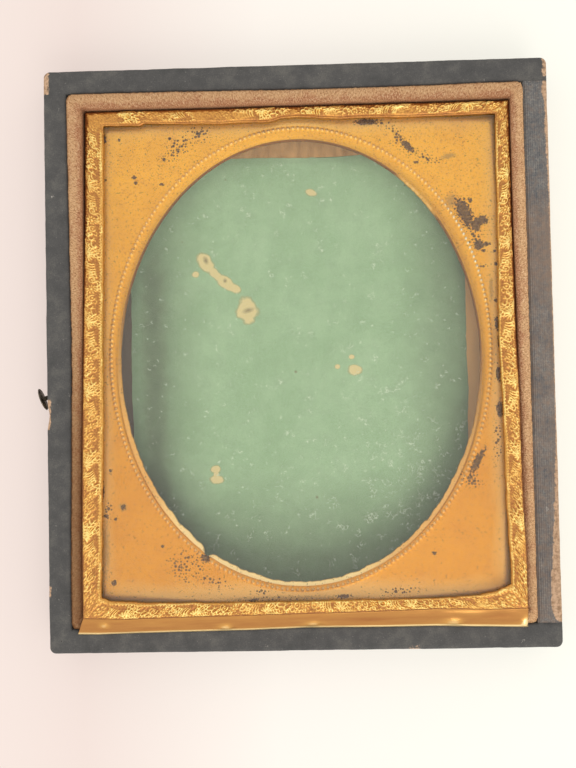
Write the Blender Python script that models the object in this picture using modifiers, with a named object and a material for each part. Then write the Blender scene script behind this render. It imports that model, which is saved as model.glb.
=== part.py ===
"""Image half of a small hinged case for a photograph: a covered wooden tray, the velvet
retainer inside it, and the packet of brass preserver, glass and oval mat that it holds.

Metres, +Z up. The origin is the middle of the tray's underside. +Y is the head of the
picture and +X the hinge side. The packet's foot end stands higher than its head end,
because its foot flange is bent out and lies over the retainer.
"""

import math

import bmesh
import bpy
from mathutils import Matrix, Vector

# Gaps between the pieces
LEAF_GAP = 0.00005
SEAT_GAP = 0.0003
SLIDE_GAP = 0.0002
RETAINER_GAP = 0.0001
CUT_OVERRUN = 0.001
MERGE_DISTANCE = 0.000001

# Packet: glass, mat, sealing tape and the preserver round them
PLATE_WIDTH = 0.0688
PLATE_LENGTH = 0.0816
GLASS_THICKNESS = 0.0016
GLASS_EDGE_RADIUS = 0.00015
FOIL_THICKNESS = 0.0002
FLANGE_LENGTH = 0.0038
FLANGE_SPREAD = 0.0006
BAND_WIDTH = 0.0026
BAND_RELIEF = 0.00045
TAPE_THICKNESS = 0.00015
TAPE_LAP = 0.0020
MAT_THICKNESS = 0.0003
MAT_SIDE_MARGIN = 0.00495
MAT_END_MARGIN = 0.0044
LIP_WIDTH = 0.0003
LIP_DROP = 0.00045
BEVEL_WIDTH = 0.0009
BEAD_WIDTH = 0.0006
BEAD_HEIGHT = 0.0002
HEAD_DROP = 0.0017
FOOT_RAISE = 0.0032

# Retainer: a folded strip of card with velvet glued over its top
CARD_THICKNESS = 0.0009
VELVET_THICKNESS = 0.0007
VELVET_CROWN = 0.0008
VELVET_PROUD = 0.00075
VELVET_TURN = 0.0030
VELVET_CORNER_RADIUS = 0.0012
VELVET_FOLD_RADIUS = 0.0002
BUTT_GAP = 0.0003

# Tray: base board, four rails and what covers them
BASE_COVERING_THICKNESS = 0.0004
BOARD_THICKNESS = 0.0016
RAIL_THICKNESS = 0.0028
RAIL_HEIGHT = 0.0069
RABBET_DEPTH = 0.0014
COVERING_THICKNESS = 0.0005
TURN_IN = 0.0040
TRAY_CORNER_RADIUS = 0.0010
TURN_IN_RADIUS = 0.0003
RIM_RADIUS = 0.0004
HINGE_STRIP_THICKNESS = 0.00025
HINGE_STRIP_INSET = 0.0003
PAPER_THICKNESS = 0.0002
BARE_FLOOR_HEAD = 0.0074
BARE_FLOOR_FOOT = 0.0006
BARE_FLOOR_CATCH = 0.0065
BARE_FLOOR_HINGE = 0.0069

# Catch stud in the wall away from the hinge
STUD_HEAD_RADIUS = 0.0019
STUD_HEAD_THICKNESS = 0.0005
STUD_SHANK_RADIUS = 0.00045
STUD_PLACE_Y = -0.0063
STUD_BELOW_RIM = 0.0040
STUD_BEND = math.radians(24)

# Counts of flats on round shapes
OVAL_SIDES = 96
ROUND_SIDES = 24
CORNER_STEPS = 4
CROWN_STEPS = 8

# Plan of the packet, from the glass outwards
PACKET_WALL = LEAF_GAP + TAPE_THICKNESS + LEAF_GAP + FOIL_THICKNESS
PACKET_WIDTH = PLATE_WIDTH + 2 * PACKET_WALL
PACKET_LENGTH = PLATE_LENGTH + 2 * PACKET_WALL
PACKET_TILT = math.asin(FOOT_RAISE / PACKET_LENGTH)
PACKET_LEAN = FLANGE_LENGTH * math.sin(PACKET_TILT)
PACKET_PLAN_LENGTH = PACKET_LENGTH * math.cos(PACKET_TILT) + PACKET_LEAN

# Plan of the retainer and the tray, as half sizes from the middle outwards
RETAINER_WALL = VELVET_THICKNESS + LEAF_GAP + CARD_THICKNESS + LEAF_GAP + VELVET_THICKNESS
RETAINER_IN_X = PACKET_WIDTH / 2 + SLIDE_GAP
RETAINER_IN_Y = PACKET_PLAN_LENGTH / 2 + SLIDE_GAP
CARD_IN_X = RETAINER_IN_X + VELVET_THICKNESS + LEAF_GAP
CARD_IN_Y = RETAINER_IN_Y + VELVET_THICKNESS + LEAF_GAP
RETAINER_OUT_X = RETAINER_IN_X + RETAINER_WALL
RETAINER_OUT_Y = RETAINER_IN_Y + RETAINER_WALL
TRAY_IN_X = RETAINER_OUT_X + RETAINER_GAP
TRAY_IN_Y = RETAINER_OUT_Y + RETAINER_GAP
RAIL_IN_X = TRAY_IN_X + COVERING_THICKNESS + LEAF_GAP
RAIL_IN_Y = TRAY_IN_Y + COVERING_THICKNESS + LEAF_GAP
RAIL_OUT_X = RAIL_IN_X + RAIL_THICKNESS
RAIL_OUT_Y = RAIL_IN_Y + RAIL_THICKNESS
TRAY_OUT_X = RAIL_OUT_X + LEAF_GAP + COVERING_THICKNESS
TRAY_OUT_Y = RAIL_OUT_Y + LEAF_GAP + COVERING_THICKNESS
TRAY_WALL = TRAY_OUT_X - TRAY_IN_X

# Levels of the tray and the retainer, from the table upwards
BOARD_LOW = BASE_COVERING_THICKNESS + LEAF_GAP
BOARD_TOP = BOARD_LOW + BOARD_THICKNESS
FLOOR_LEVEL = BOARD_TOP + LEAF_GAP
RAIL_TOP = FLOOR_LEVEL + RAIL_HEIGHT
RIM_TOP = RAIL_TOP + LEAF_GAP + COVERING_THICKNESS
VELVET_TOP = RIM_TOP + VELVET_PROUD
CARD_TOP = VELVET_TOP - VELVET_CROWN - LEAF_GAP
STUD_LEVEL = RIM_TOP - STUD_BELOW_RIM

# Levels inside the packet, from the lower edge of its flanges upwards
FACE_LEVEL = FLANGE_LENGTH
TAPE_TOP = FACE_LEVEL - FOIL_THICKNESS - LEAF_GAP
GLASS_TOP = TAPE_TOP - TAPE_THICKNESS - LEAF_GAP
GLASS_LOW = GLASS_TOP - GLASS_THICKNESS
BEAD_TOP = GLASS_LOW - LEAF_GAP
FIELD_TOP = BEAD_TOP - BEAD_HEIGHT
MAT_LOW = FIELD_TOP - MAT_THICKNESS
TAPE_LOW = MAT_LOW - LEAF_GAP - TAPE_THICKNESS

# Section of the preserver's band: shares of its width from the outer edge, and of its relief
BAND_SECTION_SHARES = (
    (1.0, 0.0), (0.92, 0.45), (0.80, 0.8), (0.62, 1.0), (0.40, 1.0), (0.20, 0.8), (0.06, 0.4), (0.0, 0.0),
)


def clear_scene():
    """Remove the objects that are there before the case is built."""
    for thing in list(bpy.data.objects):
        bpy.data.objects.remove(thing, do_unlink=True)


def make_material(name, colour, roughness, metallic=0.0, alpha=1.0):
    """Return a plain Principled material."""
    material = bpy.data.materials.new(name)
    material.use_nodes = True
    shader = material.node_tree.nodes["Principled BSDF"]
    shader.inputs["Base Color"].default_value = (*colour, 1.0)
    shader.inputs["Roughness"].default_value = roughness
    shader.inputs["Metallic"].default_value = metallic
    shader.inputs["Alpha"].default_value = alpha
    material.diffuse_color = (*colour, alpha)
    return material


def make_collection(name):
    """Return a new collection in the scene."""
    collection = bpy.data.collections.new(name)
    bpy.context.scene.collection.children.link(collection)
    return collection


class Workshop:
    """The collections that pieces and cutters go in, and the materials."""

    def __init__(self):
        self.pieces = make_collection("photograph_case_tray")
        self.cutters = make_collection("cutters")
        self.wood = make_material("wood", (0.46, 0.31, 0.17), 0.7)
        self.leather = make_material("leather", (0.07, 0.07, 0.07), 0.75)
        self.spine_leather = make_material("spine_leather", (0.09, 0.075, 0.065), 0.8)
        self.hinge_cloth = make_material("hinge_cloth", (0.08, 0.08, 0.08), 0.85)
        self.velvet = make_material("velvet", (0.50, 0.27, 0.14), 0.95)
        self.card = make_material("card", (0.55, 0.45, 0.33), 0.85)
        self.paper = make_material("green_paper", (0.33, 0.48, 0.31), 0.85)
        self.tape = make_material("tape", (0.50, 0.40, 0.26), 0.85)
        self.foil = make_material("foil", (0.75, 0.42, 0.08), 0.3, metallic=1.0)
        self.mat = make_material("mat_brass", (0.80, 0.45, 0.12), 0.4, metallic=1.0)
        self.brass = make_material("stud_brass", (0.25, 0.20, 0.12), 0.45, metallic=1.0)
        self.glass = make_material("glass", (0.95, 0.97, 0.95), 0.02, alpha=0.3)

    def add(self, name, mesh, material, place=(0, 0, 0), parent=None):
        """Return a new piece with its own mesh and material."""
        piece = bpy.data.objects.new(name, mesh)
        piece.location = place
        piece.parent = parent
        mesh.materials.append(material)
        self.pieces.objects.link(piece)
        return piece

    def add_cutter(self, name, mesh, place=(0, 0, 0)):
        """Return a helper that only cuts."""
        cutter = bpy.data.objects.new(name, mesh)
        cutter.location = place
        cutter.hide_render = True
        cutter.display_type = "WIRE"
        self.cutters.objects.link(cutter)
        return cutter


def mesh_from(bm, name):
    """Return the mesh of a bmesh, and free it."""
    mesh = bpy.data.meshes.new(name)
    bm.to_mesh(mesh)
    bm.free()
    return mesh


def block_mesh(name, low, high, corner_radius=0.0):
    """Return a block between two corners. Its upright edges can be rounded."""
    low = Vector(low)
    high = Vector(high)
    bm = bmesh.new()
    bmesh.ops.create_cube(bm, size=1)
    bmesh.ops.scale(bm, vec=high - low, verts=bm.verts)
    bmesh.ops.translate(bm, vec=(low + high) / 2, verts=bm.verts)
    if corner_radius:
        upright = [edge for edge in bm.edges if edge.verts[0].co.xy == edge.verts[1].co.xy]
        round_edges(bm, upright, corner_radius)
    return mesh_from(bm, name)


def rectangle_points(half_x, half_y, radius, level):
    """Return the points of a level rectangle with round corners."""
    points = []
    for start, sign_x, sign_y in ((0, 1, 1), (90, -1, 1), (180, -1, -1), (270, 1, -1)):
        for i in range(CORNER_STEPS + 1):
            turn = math.radians(start + 90 * i / CORNER_STEPS)
            x = sign_x * (half_x - radius) + radius * math.cos(turn)
            y = sign_y * (half_y - radius) + radius * math.sin(turn)
            points.append((x, y, level))
    return points


def start_loop(bm, points):
    """Add a closed loop of edges through some points. Return its points and its edges."""
    verts = [bm.verts.new(point) for point in points]
    return verts, [bm.edges.new((verts[i], verts[i - 1])) for i in range(len(verts))]


def grow_loop(bm, verts, edges, points):
    """Extrude edges from one row of points to the next. Return the new row and its edges."""
    made = bmesh.ops.extrude_edge_only(bm, edges=edges)["geom"]
    new_verts = {item for item in made if isinstance(item, bmesh.types.BMVert)}
    grown = []
    for vert, point in zip(verts, points):
        others = [edge.other_vert(vert) for edge in vert.link_edges]
        partner = next(other for other in others if other in new_verts)
        partner.co = point
        grown.append(partner)
    return grown, [item for item in made if isinstance(item, bmesh.types.BMEdge)]


def ring_mesh(name, in_x, in_y, section):
    """Return a closed band round a rectangle. Its section lists offset, level and plan radius."""
    rows = [
        rectangle_points(in_x + offset, in_y + offset, radius, level)
        for offset, level, radius in section
    ]
    bm = bmesh.new()
    verts, edges = start_loop(bm, rows[0])
    for row in rows[1:] + rows[:1]:
        verts, edges = grow_loop(bm, verts, edges, row)
    bmesh.ops.remove_doubles(bm, verts=bm.verts, dist=MERGE_DISTANCE)
    bmesh.ops.recalc_face_normals(bm, faces=bm.faces)
    return mesh_from(bm, name)


def round_edges(bm, edges, radius):
    """Round some edges of a bmesh."""
    bmesh.ops.bevel(
        bm, geom=edges, offset=radius, offset_type="OFFSET", segments=CORNER_STEPS,
        profile=0.5, affect="EDGES", clamp_overlap=True, material=-1,
    )


def apply_boolean(piece, cutter, operation="DIFFERENCE"):
    """Cut a piece with a helper, or keep only what lies in it."""
    boolean = piece.modifiers.new(cutter.name, "BOOLEAN")
    boolean.object = cutter
    boolean.operation = operation
    boolean.solver = "EXACT"


def prism(shop, name, outline, length, material, parent=None):
    """Return a flat outline given a thickness, lying along its own Z."""
    curve = bpy.data.curves.new(name, "CURVE")
    curve.dimensions = "2D"
    curve.fill_mode = "BOTH"
    curve.extrude = length / 2
    spline = curve.splines.new("POLY")
    spline.points.add(len(outline) - 1)
    for point, (x, y) in zip(spline.points, outline):
        point.co = (x, y, 0, 1)
    spline.use_cyclic_u = True
    piece = bpy.data.objects.new(name, curve)
    piece.parent = parent
    curve.materials.append(material)
    shop.pieces.objects.link(piece)
    return piece


def add_base(shop):
    """The panel under the tray, the base board and the lining paper."""
    covering = block_mesh(
        "base_covering", (-TRAY_OUT_X, -TRAY_OUT_Y, 0),
        (TRAY_OUT_X, TRAY_OUT_Y, BASE_COVERING_THICKNESS), TRAY_CORNER_RADIUS,
    )
    shop.add("base_covering", covering, shop.leather)
    board = block_mesh(
        "base_board", (-RAIL_OUT_X, -RAIL_OUT_Y, BOARD_LOW), (RAIL_OUT_X, RAIL_OUT_Y, BOARD_TOP),
    )
    shop.add("base_board", board, shop.wood)
    paper = block_mesh(
        "lining_paper",
        (BARE_FLOOR_CATCH - RETAINER_IN_X, BARE_FLOOR_FOOT - RETAINER_IN_Y, FLOOR_LEVEL),
        (
            RETAINER_IN_X - BARE_FLOOR_HINGE, RETAINER_IN_Y - BARE_FLOOR_HEAD,
            FLOOR_LEVEL + PAPER_THICKNESS,
        ),
    )
    shop.add("lining_paper", paper, shop.paper)


def add_end_rail(shop, name, side):
    """A head or foot rail, rabbeted at both ends for the side rails."""
    notch_x = RAIL_IN_X - LEAF_GAP
    notch_y = RAIL_IN_Y + RABBET_DEPTH
    outline = [
        (-RAIL_OUT_X, side * RAIL_OUT_Y), (-RAIL_OUT_X, side * notch_y), (-notch_x, side * notch_y),
        (-notch_x, side * RAIL_IN_Y), (notch_x, side * RAIL_IN_Y), (notch_x, side * notch_y),
        (RAIL_OUT_X, side * notch_y), (RAIL_OUT_X, side * RAIL_OUT_Y),
    ]
    rail = prism(shop, name, outline, RAIL_HEIGHT, shop.wood)
    rail.location.z = FLOOR_LEVEL + RAIL_HEIGHT / 2
    return rail


def add_side_rail(shop, name, side):
    """A side rail, whose ends fill the rabbets of the end rails."""
    reach = RAIL_IN_Y + RABBET_DEPTH - LEAF_GAP
    near = min(side * RAIL_IN_X, side * RAIL_OUT_X)
    mesh = block_mesh(
        name, (near, -reach, FLOOR_LEVEL), (near + RAIL_THICKNESS, reach, RAIL_TOP),
    )
    return shop.add(name, mesh, shop.wood)


def add_rails(shop):
    """The four rails. The catch side's is drilled for the stud."""
    add_end_rail(shop, "head_rail", 1)
    add_end_rail(shop, "foot_rail", -1)
    add_side_rail(shop, "hinge_rail", 1)
    return add_side_rail(shop, "catch_rail", -1)


def corner_arc(offset, level, radius, start, plan_radius):
    """A quarter round of a section, as offset, level and plan radius, from start in degrees."""
    turns = [math.radians(start - 90 * i / CORNER_STEPS) for i in range(CORNER_STEPS + 1)]
    return [
        (offset + radius * math.cos(turn), level + radius * math.sin(turn), plan_radius)
        for turn in turns
    ]


def covering_section():
    """The section of the covering: up the inside, over the rim and down the outside of the wall."""
    skin = COVERING_THICKNESS
    turn_low = RIM_TOP - TURN_IN
    shoulder = RIM_TOP - RIM_RADIUS
    inner_round = corner_arc(RIM_RADIUS, shoulder, RIM_RADIUS, 180, TURN_IN_RADIUS)
    outer_round = corner_arc(TRAY_WALL - RIM_RADIUS, shoulder, RIM_RADIUS, 90, TRAY_CORNER_RADIUS)
    under = RIM_TOP - skin
    return (
        [(0, turn_low, TURN_IN_RADIUS)]
        + inner_round
        + outer_round
        + [
            (TRAY_WALL, BOARD_LOW, TRAY_CORNER_RADIUS), (TRAY_WALL - skin, BOARD_LOW, LEAF_GAP),
            (TRAY_WALL - skin, under, LEAF_GAP), (skin, under, LEAF_GAP), (skin, turn_low, LEAF_GAP),
        ]
    )


def add_covering(shop, name, material):
    """A shell of covering over all four walls, before it is trimmed to its own side."""
    return shop.add(name, ring_mesh(name, TRAY_IN_X, TRAY_IN_Y, covering_section()), material)


def add_coverings(shop):
    """The covering of three walls, that of the hinge wall, and the cloth left on its rim."""
    high = RIM_TOP + CUT_OVERRUN
    low = BOARD_LOW - CUT_OVERRUN
    beyond = TRAY_OUT_X + CUT_OVERRUN
    hinge_side = block_mesh(
        "hinge_side", (RETAINER_OUT_X, -TRAY_IN_Y, low), (beyond, TRAY_IN_Y, high),
    )
    spine_side = block_mesh(
        "spine_side", (RETAINER_OUT_X, LEAF_GAP - TRAY_IN_Y, low),
        (beyond, TRAY_IN_Y - LEAF_GAP, high),
    )
    walls = add_covering(shop, "wall_covering", shop.leather)
    apply_boolean(walls, shop.add_cutter("hinge_side", hinge_side))
    spine = add_covering(shop, "spine_covering", shop.spine_leather)
    apply_boolean(spine, shop.add_cutter("spine_side", spine_side), "INTERSECT")
    strip = block_mesh(
        "inner_hinge_strip",
        (TRAY_IN_X + HINGE_STRIP_INSET, HINGE_STRIP_INSET - TRAY_IN_Y, RIM_TOP + LEAF_GAP),
        (
            TRAY_OUT_X - RIM_RADIUS - HINGE_STRIP_INSET, TRAY_IN_Y - HINGE_STRIP_INSET,
            RIM_TOP + LEAF_GAP + HINGE_STRIP_THICKNESS,
        ),
    )
    shop.add("inner_hinge_strip", strip, shop.hinge_cloth)
    return walls


def rod_mesh(name, radius, near_x, far_x):
    """Return a round rod along X, at the stud's place."""
    bm = bmesh.new()
    bmesh.ops.create_cone(
        bm, cap_ends=True, segments=ROUND_SIDES, radius1=radius, radius2=radius,
        depth=far_x - near_x,
    )
    bmesh.ops.rotate(bm, verts=bm.verts, matrix=Matrix.Rotation(math.radians(90), 3, "Y"))
    place = ((near_x + far_x) / 2, STUD_PLACE_Y, STUD_LEVEL)
    bmesh.ops.translate(bm, verts=bm.verts, vec=place)
    return mesh_from(bm, name)


def add_stud(shop, catch_rail, walls):
    """The catch stud: a round head, leaning over, on a shank through the covering and the rail."""
    lean = STUD_HEAD_RADIUS * math.sin(STUD_BEND)
    half_thickness = STUD_HEAD_THICKNESS * math.cos(STUD_BEND) / 2
    head_x = -TRAY_OUT_X - SEAT_GAP - lean - half_thickness
    bm = bmesh.new()
    bmesh.ops.create_cone(
        bm, cap_ends=True, segments=ROUND_SIDES, radius1=STUD_HEAD_RADIUS,
        radius2=STUD_HEAD_RADIUS, depth=STUD_HEAD_THICKNESS,
    )
    rims = [edge for edge in bm.edges if any(len(face.verts) > 4 for face in edge.link_faces)]
    round_edges(bm, rims, STUD_HEAD_THICKNESS / 3)
    stud = shop.add(
        "catch_stud", mesh_from(bm, "catch_stud"), shop.brass, (head_x, STUD_PLACE_Y, STUD_LEVEL)
    )
    stud.rotation_euler = (0, math.radians(90), STUD_BEND)
    shank_end = -RAIL_IN_X - LEAF_GAP
    shank = rod_mesh("stud_shank", STUD_SHANK_RADIUS, head_x, shank_end)
    apply_boolean(stud, shop.add_cutter("stud_shank", shank), "UNION")
    hole = rod_mesh(
        "stud_hole", STUD_SHANK_RADIUS + LEAF_GAP, head_x, RAIL_THICKNESS / 2 - RAIL_IN_X
    )
    drill = shop.add_cutter("stud_hole", hole)
    apply_boolean(catch_rail, drill)
    apply_boolean(walls, drill)


def add_retainer(shop):
    """The retainer: a strip of card folded round the tray, with velvet over its top edge."""
    empty = bpy.data.objects.new("retainer", None)
    shop.pieces.objects.link(empty)
    butt = block_mesh(
        "butt_joint",
        (-RETAINER_IN_X, -RETAINER_OUT_Y - CUT_OVERRUN, FLOOR_LEVEL - CUT_OVERRUN),
        (BUTT_GAP - RETAINER_IN_X, -RETAINER_IN_Y + CUT_OVERRUN, VELVET_TOP + CUT_OVERRUN),
    )
    butt_joint = shop.add_cutter("butt_joint", butt)
    card_section = [
        (0, FLOOR_LEVEL, LEAF_GAP), (0, CARD_TOP, LEAF_GAP),
        (CARD_THICKNESS, CARD_TOP, LEAF_GAP), (CARD_THICKNESS, FLOOR_LEVEL, LEAF_GAP),
    ]
    card_mesh = ring_mesh("retainer_card", CARD_IN_X, CARD_IN_Y, card_section)
    card = shop.add("retainer_card", card_mesh, shop.card, parent=empty)
    apply_boolean(card, butt_joint)
    velvet_mesh = ring_mesh("retainer_velvet", RETAINER_IN_X, RETAINER_IN_Y, velvet_section())
    velvet = shop.add("retainer_velvet", velvet_mesh, shop.velvet, parent=empty)
    apply_boolean(velvet, butt_joint)


def velvet_section():
    """The section of the velvet: up the inside, over a round crown and a little way down behind."""
    pile = VELVET_THICKNESS
    half = RETAINER_WALL / 2
    spring = VELVET_TOP - VELVET_CROWN
    crown = []
    for i in range(CROWN_STEPS + 1):
        turn = math.pi * (1 - i / CROWN_STEPS)
        across = half + half * math.cos(turn)
        plan_radius = VELVET_FOLD_RADIUS
        plan_radius += (VELVET_CORNER_RADIUS - VELVET_FOLD_RADIUS) * across / RETAINER_WALL
        crown.append((across, spring + VELVET_CROWN * math.sin(turn), plan_radius))
    turn_low = CARD_TOP - VELVET_TURN
    over_card = CARD_TOP + LEAF_GAP
    return (
        [(0, FLOOR_LEVEL, VELVET_FOLD_RADIUS)]
        + crown
        + [
            (RETAINER_WALL, turn_low, VELVET_CORNER_RADIUS),
            (RETAINER_WALL - pile, turn_low, LEAF_GAP), (RETAINER_WALL - pile, over_card, LEAF_GAP),
            (pile, over_card, LEAF_GAP), (pile, FLOOR_LEVEL, LEAF_GAP),
        ]
    )


def packet_frame(shop):
    """The empty that carries the packet: its head edge is low, its foot edge raised."""
    empty = bpy.data.objects.new("packet", None)
    empty.location = (
        0, PACKET_PLAN_LENGTH / 2 - PACKET_LEAN,
        VELVET_TOP - HEAD_DROP - FACE_LEVEL * math.cos(PACKET_TILT),
    )
    empty.rotation_euler = (-PACKET_TILT, 0, 0)
    shop.pieces.objects.link(empty)
    return empty


def splay_angle():
    """How far the foot flange slopes down, so that it lies just over the retainer and the rim."""
    edge_z = VELVET_TOP - HEAD_DROP + FOOT_RAISE - FOIL_THICKNESS
    to_crown = SLIDE_GAP + RETAINER_WALL / 2
    to_rim = FLANGE_LENGTH
    over_crown = (edge_z - VELVET_TOP - SEAT_GAP) / to_crown
    over_rim = (edge_z - RIM_TOP - SEAT_GAP) / to_rim
    return math.atan(min(over_crown, over_rim))


def band_points(share, relief):
    """The corners of a loop along the preserver's band, in the packet's own frame."""
    inset = share * BAND_WIDTH
    half_x = PACKET_WIDTH / 2 - inset
    head = -inset
    foot = inset - PACKET_LENGTH
    level = FACE_LEVEL + relief * BAND_RELIEF
    return [
        Vector((-half_x, head, level)), Vector((half_x, head, level)),
        Vector((half_x, foot, level)), Vector((-half_x, foot, level)),
    ]


def add_preserver(shop, packet):
    """The foil frame: a rounded band, flanges down three sides, and the foot flange bent out."""
    bm = bmesh.new()
    rows = [band_points(share, relief) for share, relief in BAND_SECTION_SHARES]
    verts, edges = start_loop(bm, rows[0])
    for row in rows[1:]:
        verts, edges = grow_loop(bm, verts, edges, row)
    foot_verts = verts[2:]
    foot_edges = [edge for edge in edges if set(edge.verts) == set(foot_verts)]
    other_edges = [edge for edge in edges if edge not in foot_edges]
    low_row = [vert.co - Vector((0, 0, FLANGE_LENGTH)) for vert in verts]
    grow_loop(bm, verts, other_edges, low_row)
    down = splay_angle() + PACKET_TILT
    bent = Vector((0, -math.cos(down), -math.sin(down))) * FLANGE_LENGTH
    spread = Vector((FLANGE_SPREAD, 0, 0))
    lip = [foot_verts[0].co + bent + spread, foot_verts[1].co + bent - spread]
    grow_loop(bm, foot_verts, foot_edges, lip)
    bmesh.ops.recalc_face_normals(bm, faces=bm.faces)
    if sum(face.normal.z for face in bm.faces) < 0:
        bmesh.ops.reverse_faces(bm, faces=bm.faces)
    preserver = shop.add("preserver", mesh_from(bm, "preserver"), shop.foil, parent=packet)
    foil = preserver.modifiers.new("foil", "SOLIDIFY")
    foil.thickness = FOIL_THICKNESS
    foil.offset = -1
    foil.use_even_offset = True


def oval_points(grow, level):
    """An oval parallel to the mat's window, in the packet's own frame."""
    turns = [2 * math.pi * i / OVAL_SIDES for i in range(OVAL_SIDES)]
    half_x = PLATE_WIDTH / 2 - MAT_SIDE_MARGIN + grow
    half_y = PLATE_LENGTH / 2 - MAT_END_MARGIN + grow
    middle = -PACKET_LENGTH / 2
    return [(half_x * math.cos(turn), middle + half_y * math.sin(turn), level) for turn in turns]


def add_mat(shop, packet):
    """The brass mat: a flat field, a raised line round the oval, a bevel and a thin lip."""
    line_in = LIP_WIDTH + BEVEL_WIDTH
    lip_level = FIELD_TOP - LIP_DROP
    rows = [
        oval_points(0, lip_level), oval_points(LIP_WIDTH, lip_level), oval_points(line_in, FIELD_TOP),
        oval_points(line_in + BEAD_WIDTH / 2, BEAD_TOP), oval_points(line_in + BEAD_WIDTH, FIELD_TOP),
    ]
    bm = bmesh.new()
    verts, edges = start_loop(bm, rows[0])
    for row in rows[1:]:
        verts, edges = grow_loop(bm, verts, edges, row)
    half_x = PLATE_WIDTH / 2
    half_y = PLATE_LENGTH / 2
    middle = -PACKET_LENGTH / 2
    corners = [
        (-half_x, middle - half_y, FIELD_TOP), (half_x, middle - half_y, FIELD_TOP),
        (half_x, middle + half_y, FIELD_TOP), (-half_x, middle + half_y, FIELD_TOP),
    ]
    border = start_loop(bm, corners)[1]
    bmesh.ops.triangle_fill(bm, use_beauty=True, edges=edges + border)
    bmesh.ops.recalc_face_normals(bm, faces=bm.faces)
    if sum(face.normal.z * face.calc_area() for face in bm.faces) < 0:
        bmesh.ops.reverse_faces(bm, faces=bm.faces)
    mat = shop.add("mat", mesh_from(bm, "mat"), shop.mat, parent=packet)
    sheet = mat.modifiers.new("sheet", "SOLIDIFY")
    sheet.thickness = MAT_THICKNESS
    sheet.offset = -1


def add_glass(shop, packet):
    """The cover glass."""
    mesh = block_mesh(
        "cover_glass", (-PLATE_WIDTH / 2, -PLATE_LENGTH / 2, GLASS_LOW),
        (PLATE_WIDTH / 2, PLATE_LENGTH / 2, GLASS_TOP),
    )
    glass = shop.add(
        "cover_glass", mesh, shop.glass, (0, -PACKET_LENGTH / 2, 0), parent=packet
    )
    edge = glass.modifiers.new("ground_edge", "BEVEL")
    edge.width = GLASS_EDGE_RADIUS
    edge.segments = 1


def add_tape(shop, packet, name, half_across, length, turn):
    """One strip of sealing tape, folded over an edge of the glass and the mat."""
    inner = half_across + LEAF_GAP
    outer = inner + TAPE_THICKNESS
    lap = inner - TAPE_LAP
    outline = [
        (outer, TAPE_LOW), (outer, TAPE_TOP), (lap, TAPE_TOP), (lap, TAPE_TOP - TAPE_THICKNESS),
        (inner, TAPE_TOP - TAPE_THICKNESS), (inner, TAPE_LOW + TAPE_THICKNESS),
        (lap, TAPE_LOW + TAPE_THICKNESS), (lap, TAPE_LOW),
    ]
    tape = prism(shop, name, outline, length, shop.tape, parent=packet)
    tape.location = (0, -PACKET_LENGTH / 2, 0)
    tape.rotation_euler = (math.radians(90), 0, turn)


def add_tapes(shop, packet):
    """Four strips: the long ones run the full length, the short ones fit between them."""
    fold = LEAF_GAP + TAPE_THICKNESS
    side_length = PLATE_LENGTH + 2 * fold
    end_length = PLATE_WIDTH - 2 * (TAPE_LAP + LEAF_GAP)
    add_tape(shop, packet, "tape_hinge_side", PLATE_WIDTH / 2, side_length, 0)
    add_tape(shop, packet, "tape_head", PLATE_LENGTH / 2, end_length, math.radians(90))
    add_tape(shop, packet, "tape_catch_side", PLATE_WIDTH / 2, side_length, math.radians(180))
    add_tape(shop, packet, "tape_foot", PLATE_LENGTH / 2, end_length, math.radians(270))


def add_packet(shop):
    """The preserver, glass, mat and tapes, on one leaning frame."""
    packet = packet_frame(shop)
    add_preserver(shop, packet)
    add_glass(shop, packet)
    add_mat(shop, packet)
    add_tapes(shop, packet)


def main():
    """Build the tray, the retainer and the packet."""
    clear_scene()
    shop = Workshop()
    add_base(shop)
    catch_rail = add_rails(shop)
    walls = add_coverings(shop)
    add_stud(shop, catch_rail, walls)
    add_retainer(shop)
    add_packet(shop)
    print(f"tray {2 * TRAY_OUT_X:.5f} x {2 * TRAY_OUT_Y:.5f} x {RIM_TOP:.5f} m")


main()
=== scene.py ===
"""Looks of the image half of a hinged case for a photograph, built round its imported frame.

The frame gives the tray, the retainer and the packet at their real sizes, in metres, with +Z up,
+Y at the head of the picture and +X at the hinge. Each class here dresses one of them.
"""

import itertools
import logging
import math
from collections.abc import Sequence
from dataclasses import dataclass, field, replace
from enum import Enum
from typing import Any

import bmesh
import bpy
import numpy as np
from mathutils import Matrix, Vector

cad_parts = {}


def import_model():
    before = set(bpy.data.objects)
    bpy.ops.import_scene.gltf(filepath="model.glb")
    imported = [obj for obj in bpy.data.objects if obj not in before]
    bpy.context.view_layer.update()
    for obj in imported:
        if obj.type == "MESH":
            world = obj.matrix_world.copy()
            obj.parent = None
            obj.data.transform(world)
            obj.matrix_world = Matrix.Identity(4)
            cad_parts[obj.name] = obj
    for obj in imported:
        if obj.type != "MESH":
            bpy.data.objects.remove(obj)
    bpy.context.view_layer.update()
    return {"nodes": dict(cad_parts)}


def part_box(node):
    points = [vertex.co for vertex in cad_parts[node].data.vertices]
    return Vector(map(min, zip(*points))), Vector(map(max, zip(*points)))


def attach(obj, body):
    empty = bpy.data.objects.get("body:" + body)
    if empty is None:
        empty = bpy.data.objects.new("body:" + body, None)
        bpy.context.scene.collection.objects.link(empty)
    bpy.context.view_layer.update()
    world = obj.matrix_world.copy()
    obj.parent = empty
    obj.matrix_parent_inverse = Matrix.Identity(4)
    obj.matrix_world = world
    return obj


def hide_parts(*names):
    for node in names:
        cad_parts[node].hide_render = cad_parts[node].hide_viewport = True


MM = 0.001
HAIR_EDGE = 0.07 * MM
HAIR_CORE = 0.025 * MM
SCATTER = np.array([127.1, 311.7, 74.7])
LOG = logging.getLogger("photograph_case")

Socket = bpy.types.NodeSocket
Tree = bpy.types.NodeTree
Line = tuple[tuple[float, float], ...]
Waves = tuple[tuple[float, float, int], ...]


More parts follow.
